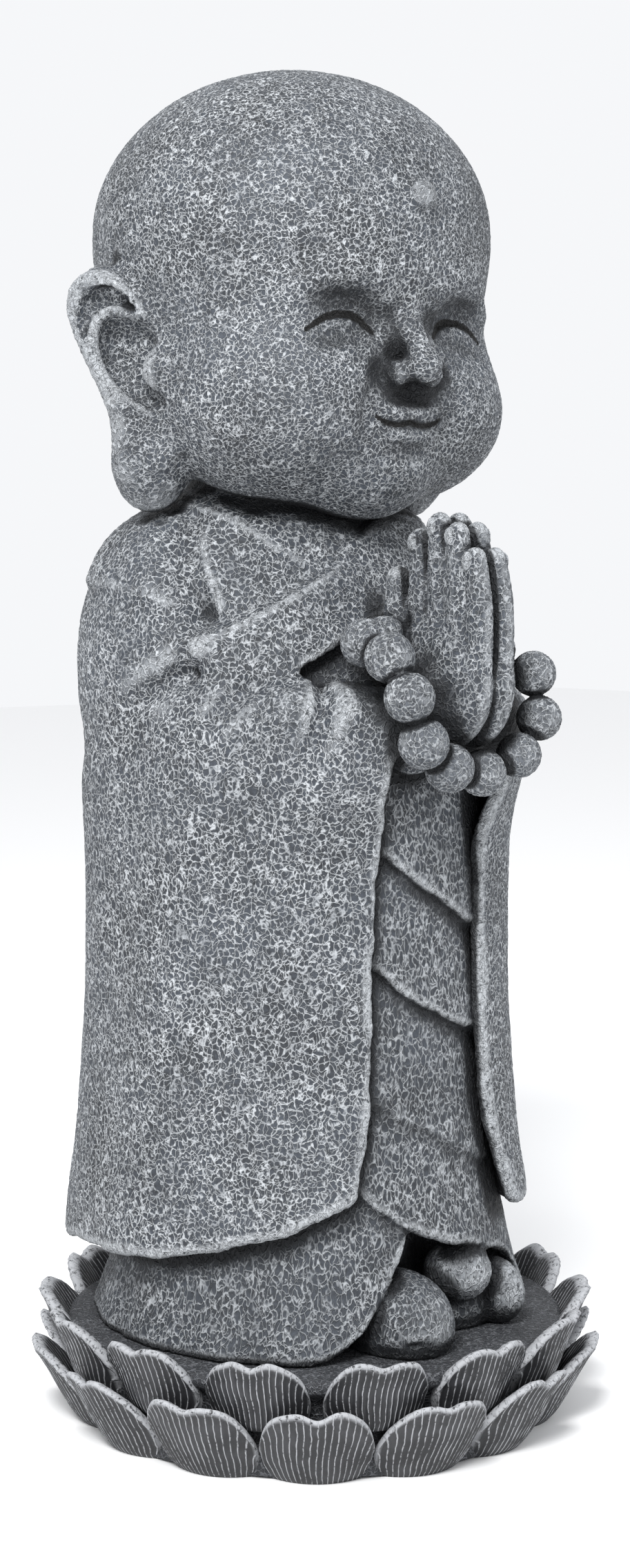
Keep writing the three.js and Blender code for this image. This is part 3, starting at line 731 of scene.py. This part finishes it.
def carved(name, clay, around, lines=()):
    """The mesh of some clay, with how recessed each point is (for painted shade), how worn, and
    where its inked lines lie (black paint and painted groove shadow).
    """
    points, quads = clay.skin()
    normal = normals_of(points, quads)
    points = relaxed(points, quads, 1)
    # How enclosed each point is, sampled outwards along its normal; the stone finish darkens
    # enclosed points by it as painted shade.
    hollow = np.zeros(len(points))
    for reach, weight in HOLLOW_REACHES:
        room = around.sample(points + normal * reach)
        hollow += weight * np.clip(1 - room / reach, 0, 1)
    smooth = relaxed(points, quads, 6)
    bulge = np.sum((points - smooth) * normal, axis=1)
    worn = np.clip(relaxed(bulge, quads, 2) / (0.25 * clay.step), 0, 1)
    # Points near the carved lines are marked for black, partly ink and partly painted shadow in
    # the thin grooves.
    ink_and_shadow = np.zeros(len(points))
    for line in lines:
        ink_and_shadow = np.maximum(ink_and_shadow, 1 - smoothstep(line.far(*points.T), 0.25, 0.9))
    marks = {"shade_recess": relaxed(hollow, quads, 2), "worn": worn, "ink_and_shadow": ink_and_shadow}
    return mesh_object(name, points, quads.tolist(), marks)


def everything_clay():
    """The whole figure at once, coarsely, to tell how enclosed each place is, for the painted
    shade.
    """
    clay = Clay((-136, -140, 20), (136, 136, 680), COARSE_STEP)
    parts = [make(COARSE_STEP) for make in (robe_clay, skirts_clay, hands_clay)]
    for part in parts + [head_clay(COARSE_STEP)[0]]:
        x, y, z = np.meshgrid(*part.axes, indexing="ij")
        place = np.stack([x.ravel(), y.ravel(), z.ravel()], axis=1)
        index = np.round((place - clay.low) / clay.step).astype(int)
        keep = np.all((index >= 0) & (index < clay.far.shape), axis=1)
        i, j, k = index[keep].T
        np.minimum.at(clay.far, (i, j, k), part.far.ravel()[keep])
    ground = clay.axes[2][None, None, :] - DISC_TOP
    clay.far = np.minimum(clay.far, ground.astype(np.float32))
    return clay


# ---- lotus petals

def petal_mesh(turn, tip, bottom, half_width, thick, reach, ribs, columns, rows, seed):
    """One cupped petal with fanned ribs outside and a rounded lip: points, faces, marks."""
    tall = tip[1] - bottom[1]
    u, v = np.meshgrid(np.linspace(0, 1, columns + 1), np.linspace(0, 1, rows + 1))
    v = v ** 0.85
    side = 2 * u - 1
    wobble = 0.012 * np.sin(seed * 1.7 + 5 * side) + 0.008 * np.sin(seed * 2.3 + 11 * side)
    arch = np.sqrt(1 - np.abs(side) ** 3.2 * 0.86)
    dip = 1 - 0.09 * np.exp(-(side / 0.2) ** 2) + wobble
    z = bottom[1] + tall * v * arch * dip
    rise = (z - bottom[1]) / tall
    spread = 0.9 + 0.1 * np.sin(np.pi * np.minimum(0.62, 0.15 + rise))
    lean = bottom[0] + (tip[0] - bottom[0]) * np.maximum(rise, 0) ** 0.85
    curl = 2.5 * v ** 8
    cup = 9 * side * side * (1 - 0.3 * rise)
    lip = np.sqrt(np.clip(1 - (np.clip(v - 0.93, 0, 1) / 0.07) ** 2, 0, 1))
    lip *= np.sqrt(np.clip(1 - (np.clip(np.abs(side) - 0.93, 0, 1) / 0.07) ** 2, 0, 1))
    bow = 0.18 * side * (1 - v) ** 2 + 0.02 * np.sin(7 * v + seed)
    phase = (u + bow * 0.5) * ribs
    ridge = 0.5 + 0.5 * np.cos(2 * np.pi * phase)
    fade = smoothstep(v, 0.0, 0.12) * (1 - smoothstep(v, 0.93, 1.0))
    angle = turn + half_width * side * spread
    points, marks = [], {"rib": [], "lip": [], "inner": []}
    for depth in (0, 1):
        back = lerp(reach, thick, v) * (0.5 + (depth - 0.5) * lip)
        relief = 0.55 * ridge ** 2 * fade if depth == 0 else 0.35 * ridge * smoothstep(v, 0.7, 0.9)
        radius = lean + curl - cup - back + relief
        points.append(np.stack([radius * np.sin(angle), -radius * np.cos(angle), z], -1))
        marks["rib"].append(phase)
        edge = np.maximum(smoothstep(v, 0.9, 0.985), smoothstep(np.abs(side), 0.93, 1.0))
        marks["lip"].append(edge)
        marks["inner"].append(np.full_like(v, depth))
    points = np.concatenate([p.reshape(-1, 3) for p in points])
    marks = {k: np.concatenate([m.ravel() for m in w]) for k, w in marks.items()}
    i, j = np.meshgrid(np.arange(columns), np.arange(rows))
    a = (j * (columns + 1) + i).ravel()
    outer = np.stack([a, a + 1, a + columns + 2, a + columns + 1], 1)
    n = (columns + 1) * (rows + 1)
    inner = outer[:, ::-1] + n
    low = np.arange(columns)
    foot = np.stack([low, low + n, low + n + 1, low + 1], 1)
    faces = np.vstack([outer, inner, foot])
    twin = np.arange(2 * n)
    grid = np.arange(n).reshape(rows + 1, columns + 1)
    for seam in (grid[-1], grid[:, 0], grid[:, -1]):
        twin[seam + n] = seam
    return points, twin[faces], marks


PETAL_ROWS = {
    "upper_petals": {"turn": 0.0, "width": 0.9, "rows": 20, "tip": (140, 63),
                     "bottom": (126, 26), "thick": 6, "reach": 12},
    "lower_petals": {"turn": 0.5, "width": 0.984, "rows": 26, "tip": (144.5, 42),
                     "bottom": (121, 0), "thick": 5.5, "reach": 9},
}
PETAL_COLUMNS = 84
PETAL_RIBS = 18


def petal_row(name, count, turn, width, **shape):
    """All petals of one row as one mesh; width is the share of its place a petal fills."""
    points, faces, marks, total = [], [], {}, 0
    for i in range(count):
        p, f, m = petal_mesh((i + turn) * 2 * math.pi / count,
                             half_width=width * (math.pi / count), ribs=PETAL_RIBS,
                             columns=PETAL_COLUMNS, seed=i * 1.3 + turn * 5, **shape)
        points.append(p)
        faces.append(f + total)
        total += len(p)
        for key, values in m.items():
            marks.setdefault(key, []).append(values)
    points, faces = np.concatenate(points), np.concatenate(faces)
    used, packed = np.unique(faces, return_inverse=True)
    marks = {k: np.concatenate(v)[used] for k, v in marks.items()}
    return mesh_object(name, points[used], packed.reshape(faces.shape).tolist(), marks)


DISC_SIDE = [(60, 0), (114, 0), (117, 2), (117, 20), (118, 40), (123.5, 43), (125, 44.5),
             (125.4, 46.5), (124.8, 48.6), (123, 49.8)]


def disc_mesh(name):
    """The round block inside the petals, with its slightly uneven top."""
    around = np.arange(180)
    sides = len(around)
    angle = around * 2 * math.pi / sides
    rings = [(radius, z + 0 * angle) for radius, z in DISC_SIDE]
    for radius in np.linspace(121, 4, 40):
        bump = 0.5 * np.sin(angle * 9 + radius) * np.sin(radius / 6 + 2 * angle)
        rings.append((radius, DISC_TOP - 0.1 + 0.4 * bump))
    points = [np.stack([radius * np.cos(angle), radius * np.sin(angle), z], 1)
              for radius, z in rings]
    points = np.vstack(points + [[[0, 0, 0], [0, 0, DISC_TOP]]])
    ahead = (around + 1) % sides
    faces = []
    for start in sides * np.arange(len(rings) - 1):
        a, b = start + around, start + ahead
        faces += np.stack([a, b, b + sides, a + sides], 1).tolist()
    bottom, top = len(points) - 2, len(points) - 1
    last = (len(rings) - 1) * sides
    faces += [[bottom, b, a] for a, b in zip(around.tolist(), ahead.tolist())]
    faces += [[top, last + a, last + b] for a, b in zip(around.tolist(), ahead.tolist())]
    return mesh_object(name, points, faces)


# ---- materials

# The first colour is painted shade for enclosed places; the second is the black of the carved
# lines, partly painted shadow.
SHADE = (0.008, 0.009, 0.011, 1)
INK_AND_SHADOW = (0.004, 0.004, 0.004, 1)
PETAL_GROUND = (0.016, 0.0165, 0.019, 1)
PETAL_HAZE = (0.075, 0.077, 0.084, 1)
PETAL_RIDGE = (0.42, 0.43, 0.45, 1)
DISC_GROUND = (0.018, 0.019, 0.022, 1)
DISC_HAZE = (0.06, 0.064, 0.072, 1)
DISC_RIDGE = (0.25, 0.26, 0.28, 1)
GRAIN_SCALE = 1400.0


class Nodes:
    """Short ways to add and join nodes in one tree."""

    def __init__(self, tree):
        self.tree = tree

    def add(self, kind, inputs=None, **settings):
        made = self.tree.nodes.new(kind)
        for key, value in settings.items():
            setattr(made, key, value)
        for key, value in (inputs or {}).items():
            self.feed(made.inputs[key], value)
        return made

    def feed(self, socket, value):
        if isinstance(value, bpy.types.NodeSocket):
            self.tree.links.new(value, socket)
        else:
            socket.default_value = value

    def math(self, operation, *values, clamp=False):
        made = self.add("ShaderNodeMath", operation=operation, use_clamp=clamp)
        for i, value in enumerate(values):
            self.feed(made.inputs[i], value)
        return made.outputs[0]

    def times(self, a, b, clamp=False):
        return self.math("MULTIPLY", a, b, clamp=clamp)

    def scaled(self, value, share, more):
        """A value times a share, and then some more."""
        return self.math("MULTIPLY_ADD", value, share, more)

    def vector(self, operation, *values):
        made = self.add("ShaderNodeVectorMath", operation=operation)
        for i, value in enumerate(values):
            self.feed(made.inputs[i], value)
        return made.outputs[0]

    def rise(self, value, low, high):
        """A smooth 0 to 1 rise of a value between two limits."""
        made = self.add("ShaderNodeMapRange", {"Value": value, "From Min": low, "From Max": high},
                        interpolation_type="SMOOTHSTEP")
        return made.outputs["Result"]

    def blend(self, share, a, b):
        """A colour between two, by a share."""
        made = self.add("ShaderNodeMix", data_type="RGBA", blend_type="MIX")
        self.feed(made.inputs[0], share)
        self.feed(made.inputs[6], a)
        self.feed(made.inputs[7], b)
        return made.outputs[2]

    def noise(self, place, scale, detail=2.0, rough=0.5, output=0):
        made = self.add("ShaderNodeTexNoise", {"Vector": place, "Scale": scale, "Detail": detail,
                                               "Roughness": rough})
        return made.outputs[output]


def socket(tree, name, direction, kind, default=None):
    made = tree.interface.new_socket(name, in_out=direction, socket_type=kind)
    if default is not None:
        made.default_value = default


def hammered_net(n, place, cell, stretch):
    """A net of thin ridges round small pits, as a height from 0 to 1."""
    flat = n.add("ShaderNodeCombineXYZ", {"X": 1.0, "Y": 1.0, "Z": stretch}).outputs[0]
    spot = n.vector("MULTIPLY", place, flat)
    drift = n.noise(spot, n.math("DIVIDE", 0.5, cell), output="Color")
    drift = n.vector("SUBTRACT", drift, (0.5, 0.5, 0.5))
    size = n.add("ShaderNodeCombineXYZ", {"X": cell, "Y": cell, "Z": cell}).outputs[0]
    drift = n.vector("MULTIPLY", n.vector("MULTIPLY", drift, (2.4, 2.4, 2.4)), size)
    moved = n.vector("ADD", spot, drift)
    scale = n.math("DIVIDE", 1.0, cell)
    cells = n.add("ShaderNodeTexVoronoi", {"Vector": moved, "Scale": scale},
                  feature="DISTANCE_TO_EDGE")
    net = n.math("SUBTRACT", 1.0, n.rise(cells.outputs["Distance"], 0.0, 0.17))
    worm = n.noise(moved, n.times(scale, 0.8), 1.0)
    worm = n.math("ABSOLUTE", n.math("SUBTRACT", worm, 0.5))
    worm = n.math("SUBTRACT", 1.0, n.rise(worm, 0.0, 0.03))
    ridge = n.math("MAXIMUM", net, n.times(worm, 0.85))
    broken = n.rise(n.noise(spot, n.math("DIVIDE", 0.4, cell)), 0.25, 0.55)
    return n.times(ridge, n.scaled(broken, 0.5, 0.5))


def hammered_group():
    """The drybrushed net as a shader group, used by every finish that stone() makes."""
    tree = bpy.data.node_groups.new("hammered_net", "ShaderNodeTree")
    socket(tree, "Vector", "INPUT", "NodeSocketVector")
    socket(tree, "Cell", "INPUT", "NodeSocketFloat", 0.004)
    socket(tree, "Stretch", "INPUT", "NodeSocketFloat", 1.0)
    socket(tree, "Ridge", "OUTPUT", "NodeSocketFloat")
    socket(tree, "Grain", "OUTPUT", "NodeSocketFloat")
    n = Nodes(tree)
    given, result = n.add("NodeGroupInput").outputs, n.add("NodeGroupOutput").inputs
    n.feed(result["Ridge"], hammered_net(n, given["Vector"], given["Cell"], given["Stretch"]))
    n.feed(result["Grain"], n.noise(given["Vector"], GRAIN_SCALE, 3.0, 0.7))
    return tree


def stone_group():
    return bpy.data.node_groups.get("hammered_net") or hammered_group()


def relief_modifier(cell, stretch, height):
    """Geometry nodes that raise a mesh by the same net of ridges."""
    tree = bpy.data.node_groups.new("hammered_relief", "GeometryNodeTree")
    socket(tree, "Geometry", "INPUT", "NodeSocketGeometry")
    socket(tree, "Geometry", "OUTPUT", "NodeSocketGeometry")
    n = Nodes(tree)
    given, result = n.add("NodeGroupInput"), n.add("NodeGroupOutput")
    place = n.add("GeometryNodeInputPosition").outputs[0]
    ridge = hammered_net(n, place, cell, stretch)
    lumps = n.math("SUBTRACT", n.noise(place, 45.0), 0.5)
    lift = n.math("ADD", n.times(n.math("SUBTRACT", ridge, 0.4), height), n.times(lumps, 0.0006))
    step = n.add("ShaderNodeVectorMath", operation="SCALE")
    n.feed(step.inputs[0], n.add("GeometryNodeInputNormal").outputs[0])
    n.feed(step.inputs["Scale"], lift)
    moved = n.add("GeometryNodeSetPosition", {"Geometry": given.outputs[0],
                                              "Offset": step.outputs[0]})
    n.feed(result.inputs[0], moved.outputs[0])
    return tree


def roughened(piece, cell, stretch, height):
    """Raise the hammered net on a piece and keep the result."""
    modifier = piece.modifiers.new("relief", "NODES")
    modifier.node_group = relief_modifier(cell, stretch, height)
    ready = piece.evaluated_get(bpy.context.evaluated_depsgraph_get())
    made = bpy.data.meshes.new_from_object(ready)
    piece.modifiers.clear()
    piece.data = made


def mark(n, name):
    return n.add("ShaderNodeAttribute", attribute_name=name).outputs["Fac"]


def blank_material(name):
    """A new material with its node helper, its shader and the place on the object."""
    material = bpy.data.materials.new(name)
    material.use_nodes = True
    n = Nodes(material.node_tree)
    shader = material.node_tree.nodes["Principled BSDF"]
    return material, n, shader, n.add("ShaderNodeTexCoord").outputs["Object"]


def bumped(n, shader, height, strength, distance):
    bump = n.add("ShaderNodeBump", {"Strength": strength, "Distance": distance, "Height": height})
    n.feed(shader.inputs["Normal"], bump.outputs[0])


def stone(name, cell, stretch, ground, haze, ridge, brush, veil):
    """Dark cast stone drybrushed along the ridges of its hammered skin, with painted shade in
    enclosed places and black in its carved lines that is partly painted shadow.
    """
    material, n, shader, place = blank_material(name)
    net = n.add("ShaderNodeGroup", {"Vector": place, "Cell": cell, "Stretch": stretch},
                node_tree=stone_group()).outputs
    shade_recess, worn = mark(n, "shade_recess"), mark(n, "worn")
    # open_air is low in enclosed places: the haze thinned there is painted shade, and the drybrush
    # thinned there is the brush missing the hollows.
    open_air = n.math("SUBTRACT", 1.0, n.rise(shade_recess, 0.14, 0.6))
    cloud = n.noise(place, 22.0, 4.0, 0.6)
    fleck = n.noise(place, 420.0, 3.0, 0.65)
    patchy = n.math("ADD", n.times(cloud, 0.5), n.times(fleck, 0.5))
    misty = n.times(n.rise(patchy, 0.3, 0.72), veil)
    misty = n.times(misty, n.scaled(open_air, 0.8, 0.2))
    base = n.blend(misty, ground, haze)
    wash = n.rise(n.noise(place, 30.0, 3.0, 0.6), 0.3, 0.62)
    brushed = n.times(net["Ridge"], n.rise(fleck, 0.22, 0.46))
    brushed = n.times(brushed, n.scaled(wash, 0.3, 0.72))
    brushed = n.times(brushed, n.scaled(open_air, 0.9, 0.1))
    brushed = n.times(brushed, brush, clamp=True)
    coat = n.blend(brushed, base, ridge)
    rubbed = n.times(n.rise(worn, 0.3, 0.9), n.rise(fleck, 0.3, 0.55))
    coat = n.blend(n.times(rubbed, 0.75), coat, ridge)
    # Painted shade: enclosed places are darkened towards the shade colour.
    coat = n.blend(n.times(n.rise(shade_recess, 0.2, 0.62), 0.9), coat, SHADE)
    # Black in the carved eye and mouth lines: partly ink, partly painted shadow standing in for
    # the thin grooves.
    coat = n.blend(n.rise(mark(n, "ink_and_shadow"), 0.2, 0.7), coat, INK_AND_SHADOW)
    n.feed(shader.inputs["Base Color"], coat)
    n.feed(shader.inputs["Roughness"], n.scaled(brushed, 0.14, 0.66))
    height = n.math("ADD", net["Ridge"], n.times(net["Grain"], 0.25))
    bumped(n, shader, height, 1.0, 0.0008)
    shader.inputs["Specular IOR Level"].default_value = 0.35
    return material


def petal_stone(name):
    """Charcoal petals with pale brushed ribs and lips."""
    material, n, shader, place = blank_material(name)
    waver = n.math("SUBTRACT", n.noise(place, 120.0), 0.5)
    phase = n.math("FRACT", n.scaled(waver, 0.55, mark(n, "rib")))
    line = n.rise(n.math("ABSOLUTE", n.math("SUBTRACT", phase, 0.5)), 0.36, 0.47)
    fleck = n.noise(place, 500.0, 3.0, 0.65)
    patch = n.noise(place, 60.0, 3.0, 0.6)
    broken = n.rise(n.math("ADD", n.times(fleck, 0.6), n.times(patch, 0.4)), 0.36, 0.52)
    line = n.times(line, broken)
    rim = n.times(mark(n, "lip"), n.rise(fleck, 0.3, 0.5))
    brushed = n.math("MAXIMUM", line, rim)
    base = n.blend(n.times(n.rise(patch, 0.4, 0.7), 0.35), PETAL_GROUND, PETAL_HAZE)
    n.feed(shader.inputs["Base Color"], n.blend(n.times(brushed, 0.9), base, PETAL_RIDGE))
    n.feed(shader.inputs["Roughness"], n.scaled(brushed, 0.15, 0.6))
    grain = n.noise(place, GRAIN_SCALE, 3.0, 0.7)
    bumped(n, shader, n.math("ADD", line, n.times(grain, 0.3)), 0.7, 0.0005)
    return material


# ---- settings

class JizoSettings(bpy.types.PropertyGroup):
    """Sizes and colours a user may change."""

    ground: FloatVectorProperty(
        name="Ground colour", description="The dark stone between the ridges",
        subtype="COLOR", size=4, min=0, max=1, default=(0.017, 0.019, 0.022, 1))
    haze: FloatVectorProperty(
        name="Haze colour", description="The thin slate-blue wash over the ground",
        subtype="COLOR", size=4, min=0, max=1, default=(0.085, 0.1, 0.125, 1))
    ridge: FloatVectorProperty(
        name="Ridge colour", description="The pale drybrush on ridges and worn edges",
        subtype="COLOR", size=4, min=0, max=1, default=(0.43, 0.45, 0.47, 1))
    relief: FloatProperty(
        name="Relief", description="Height of the hammered ridges",
        unit="LENGTH", default=0.0005, min=0, max=0.003)
    petals: IntProperty(
        name="Petals", description="Petals in each row of the base", default=14, min=6, max=24)


def settings():
    return bpy.context.scene.stone_jizo


_cache = {}


def surroundings():
    """The coarse clay of everything, made once."""
    if "all" not in _cache:
        _cache["all"] = everything_clay()
    return _cache["all"]


def finish_piece(piece, material, node):
    piece.data.materials.clear()
    piece.data.materials.append(material)
    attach(piece, BODY)
    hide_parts(node)


def step_of(fine):
    return fine * 1.0


def carved_piece(name, clay, material, cell, stretch, height, brush, veil, lines=()):
    """Skin some clay, hammer it by a share of the relief, and finish it as part of the figure."""
    s = settings()
    piece = carved(name, clay, surroundings(), lines)
    roughened(piece, cell, stretch, s.relief * height)
    coat = stone(material, cell, stretch, s.ground, s.haze, s.ridge, brush, veil)
    finish_piece(piece, coat, "figure")


class JIZO_OT_base(bpy.types.Operator):
    """Make the lotus base: the disc and its two rows of petals"""

    bl_idname = "jizo.base"
    bl_label = "Lotus base"

    def execute(self, context):
        petal = petal_stone("petal_stone")
        for name, shape in PETAL_ROWS.items():
            row = petal_row(name, settings().petals, **shape)
            finish_piece(row, petal, "lotus_base")
        coat = stone("disc_stone", 0.0026, 1.0, DISC_GROUND, DISC_HAZE, DISC_RIDGE, 0.5, 0.6)
        finish_piece(disc_mesh("disc"), coat, "lotus_base")
        return {"FINISHED"}


class JIZO_OT_robe(bpy.types.Operator):
    """Carve the outer robe with its collars, arms and hanging sleeves"""

    bl_idname = "jizo.robe"
    bl_label = "Outer robe"

    def execute(self, context):
        carved_piece("outer_robe", robe_clay(step_of(2.45)), "robe_stone",
                     cell=0.0028, stretch=0.85, height=1.0, brush=1.0, veil=0.55)
        return {"FINISHED"}


class JIZO_OT_skirts(bpy.types.Operator):
    """Carve the gown, its front layers and the shoes"""

    bl_idname = "jizo.skirts"
    bl_label = "Gown and shoes"

    def execute(self, context):
        carved_piece("gown_and_shoes", skirts_clay(step_of(1.9)), "gown_stone",
                     cell=0.0028, stretch=0.55, height=1.0, brush=0.75, veil=0.45)
        return {"FINISHED"}


class JIZO_OT_hands(bpy.types.Operator):
    """Carve the joined hands and the loop of beads"""

    bl_idname = "jizo.hands"
    bl_label = "Hands and beads"

    def execute(self, context):
        carved_piece("hands_and_beads", hands_clay(step_of(1.0)), "hand_stone",
                     cell=0.0027, stretch=0.85, height=0.7, brush=0.85, veil=0.6)
        return {"FINISHED"}


class JIZO_OT_head(bpy.types.Operator):
    """Carve the head with its face and long ears"""

    bl_idname = "jizo.head"
    bl_label = "Head"

    def execute(self, context):
        clay, lines = head_clay(step_of(1.8))
        carved_piece("head", clay, "head_stone", cell=0.0025, stretch=1.0, height=0.8,
                     brush=1.0, veil=0.6, lines=lines)
        return {"FINISHED"}


FLOOR_HALF = 6.0
FLOOR_COLOUR = (0.93, 0.93, 0.93, 1)
SKY_COLOUR = (0.97, 0.98, 1.0, 1)
LAMP_TARGET = (0, 0, 0.33)
LAMPS = (
    {"name": "key", "place": (-1.5, -1.2, 2.1), "size": 0.7, "power": 80, "colour": (1, 1, 1)},
    {"name": "fill", "place": (1.6, -1.4, 0.9), "size": 1.6, "power": 5,
     "colour": (0.9, 0.95, 1.0)},
)
CAMERA_PLACE = (-0.7866, -0.9714, 0.420)
CAMERA_TURN = (math.radians(90 - 4.71), 0, math.radians(-39))
LENS_MM = 57.24
SENSOR_MM = 36


def area_light(name, place, size, power, colour):
    data = bpy.data.lights.new(name, "AREA")
    data.size = size
    data.energy = power
    data.color = colour
    lamp = bpy.data.objects.new(name, data)
    lamp.location = place
    way = Vector(LAMP_TARGET) - Vector(place)
    lamp.rotation_euler = way.to_track_quat("-Z", "Y").to_euler()
    bpy.context.scene.collection.objects.link(lamp)


def lay_floor(scene):
    h = FLOOR_HALF
    mesh = bpy.data.meshes.new("floor")
    mesh.from_pydata([(-h, -h, 0), (h, -h, 0), (h, h, 0), (-h, h, 0)], [], [(0, 1, 2, 3)])
    floor = bpy.data.objects.new("floor", mesh)
    scene.collection.objects.link(floor)
    paint = bpy.data.materials.new("pale_floor")
    paint.use_nodes = True
    shader = paint.node_tree.nodes["Principled BSDF"]
    shader.inputs["Base Color"].default_value = FLOOR_COLOUR
    shader.inputs["Roughness"].default_value = 0.9
    mesh.materials.append(paint)


def light_scene(scene):
    world = bpy.data.worlds.new("studio")
    world.use_nodes = True
    sky = world.node_tree.nodes["Background"].inputs
    sky["Color"].default_value = SKY_COLOUR
    sky["Strength"].default_value = 0.95
    scene.world = world
    scene.view_settings.view_transform = "Standard"
    for lamp in LAMPS:
        area_light(**lamp)


def place_camera(scene):
    data = bpy.data.cameras.new("camera")
    data.lens = LENS_MM
    data.sensor_width = SENSOR_MM
    data.sensor_fit = "AUTO"
    data.clip_end = 30
    camera = bpy.data.objects.new("camera", data)
    camera.location = CAMERA_PLACE
    camera.rotation_euler = CAMERA_TURN
    scene.collection.objects.link(camera)
    scene.camera = camera


class JIZO_OT_stage(bpy.types.Operator):
    """Set up the floor, the soft lights and the camera"""

    bl_idname = "jizo.stage"
    bl_label = "Stage"

    def execute(self, context):
        lay_floor(context.scene)
        light_scene(context.scene)
        place_camera(context.scene)
        return {"FINISHED"}


class JIZO_PT_panel(bpy.types.Panel):
    """The sidebar panel with every piece"""

    bl_label = "Stone Jizo"
    bl_idname = "JIZO_PT_panel"
    bl_space_type = "VIEW_3D"
    bl_region_type = "UI"
    bl_category = "Stone Jizo"

    def draw(self, context):
        for name in ("ground", "haze", "ridge", "relief", "petals"):
            self.layout.prop(context.scene.stone_jizo, name)
        for operator in OPERATORS:
            self.layout.operator(operator.bl_idname)


OPERATORS = (JIZO_OT_stage, JIZO_OT_base, JIZO_OT_skirts, JIZO_OT_robe, JIZO_OT_hands,
             JIZO_OT_head)
CLASSES = (JizoSettings,) + OPERATORS + (JIZO_PT_panel,)


def register():
    for cls in CLASSES:
        bpy.utils.register_class(cls)
    bpy.types.Scene.stone_jizo = PointerProperty(type=JizoSettings)


def unregister():
    del bpy.types.Scene.stone_jizo
    for cls in reversed(CLASSES):
        bpy.utils.unregister_class(cls)


def main():
    register()
    for operator in OPERATORS:
        space, call = operator.bl_idname.split(".")
        getattr(getattr(bpy.ops, space), call)()


if __name__ == "__main__":
    main()
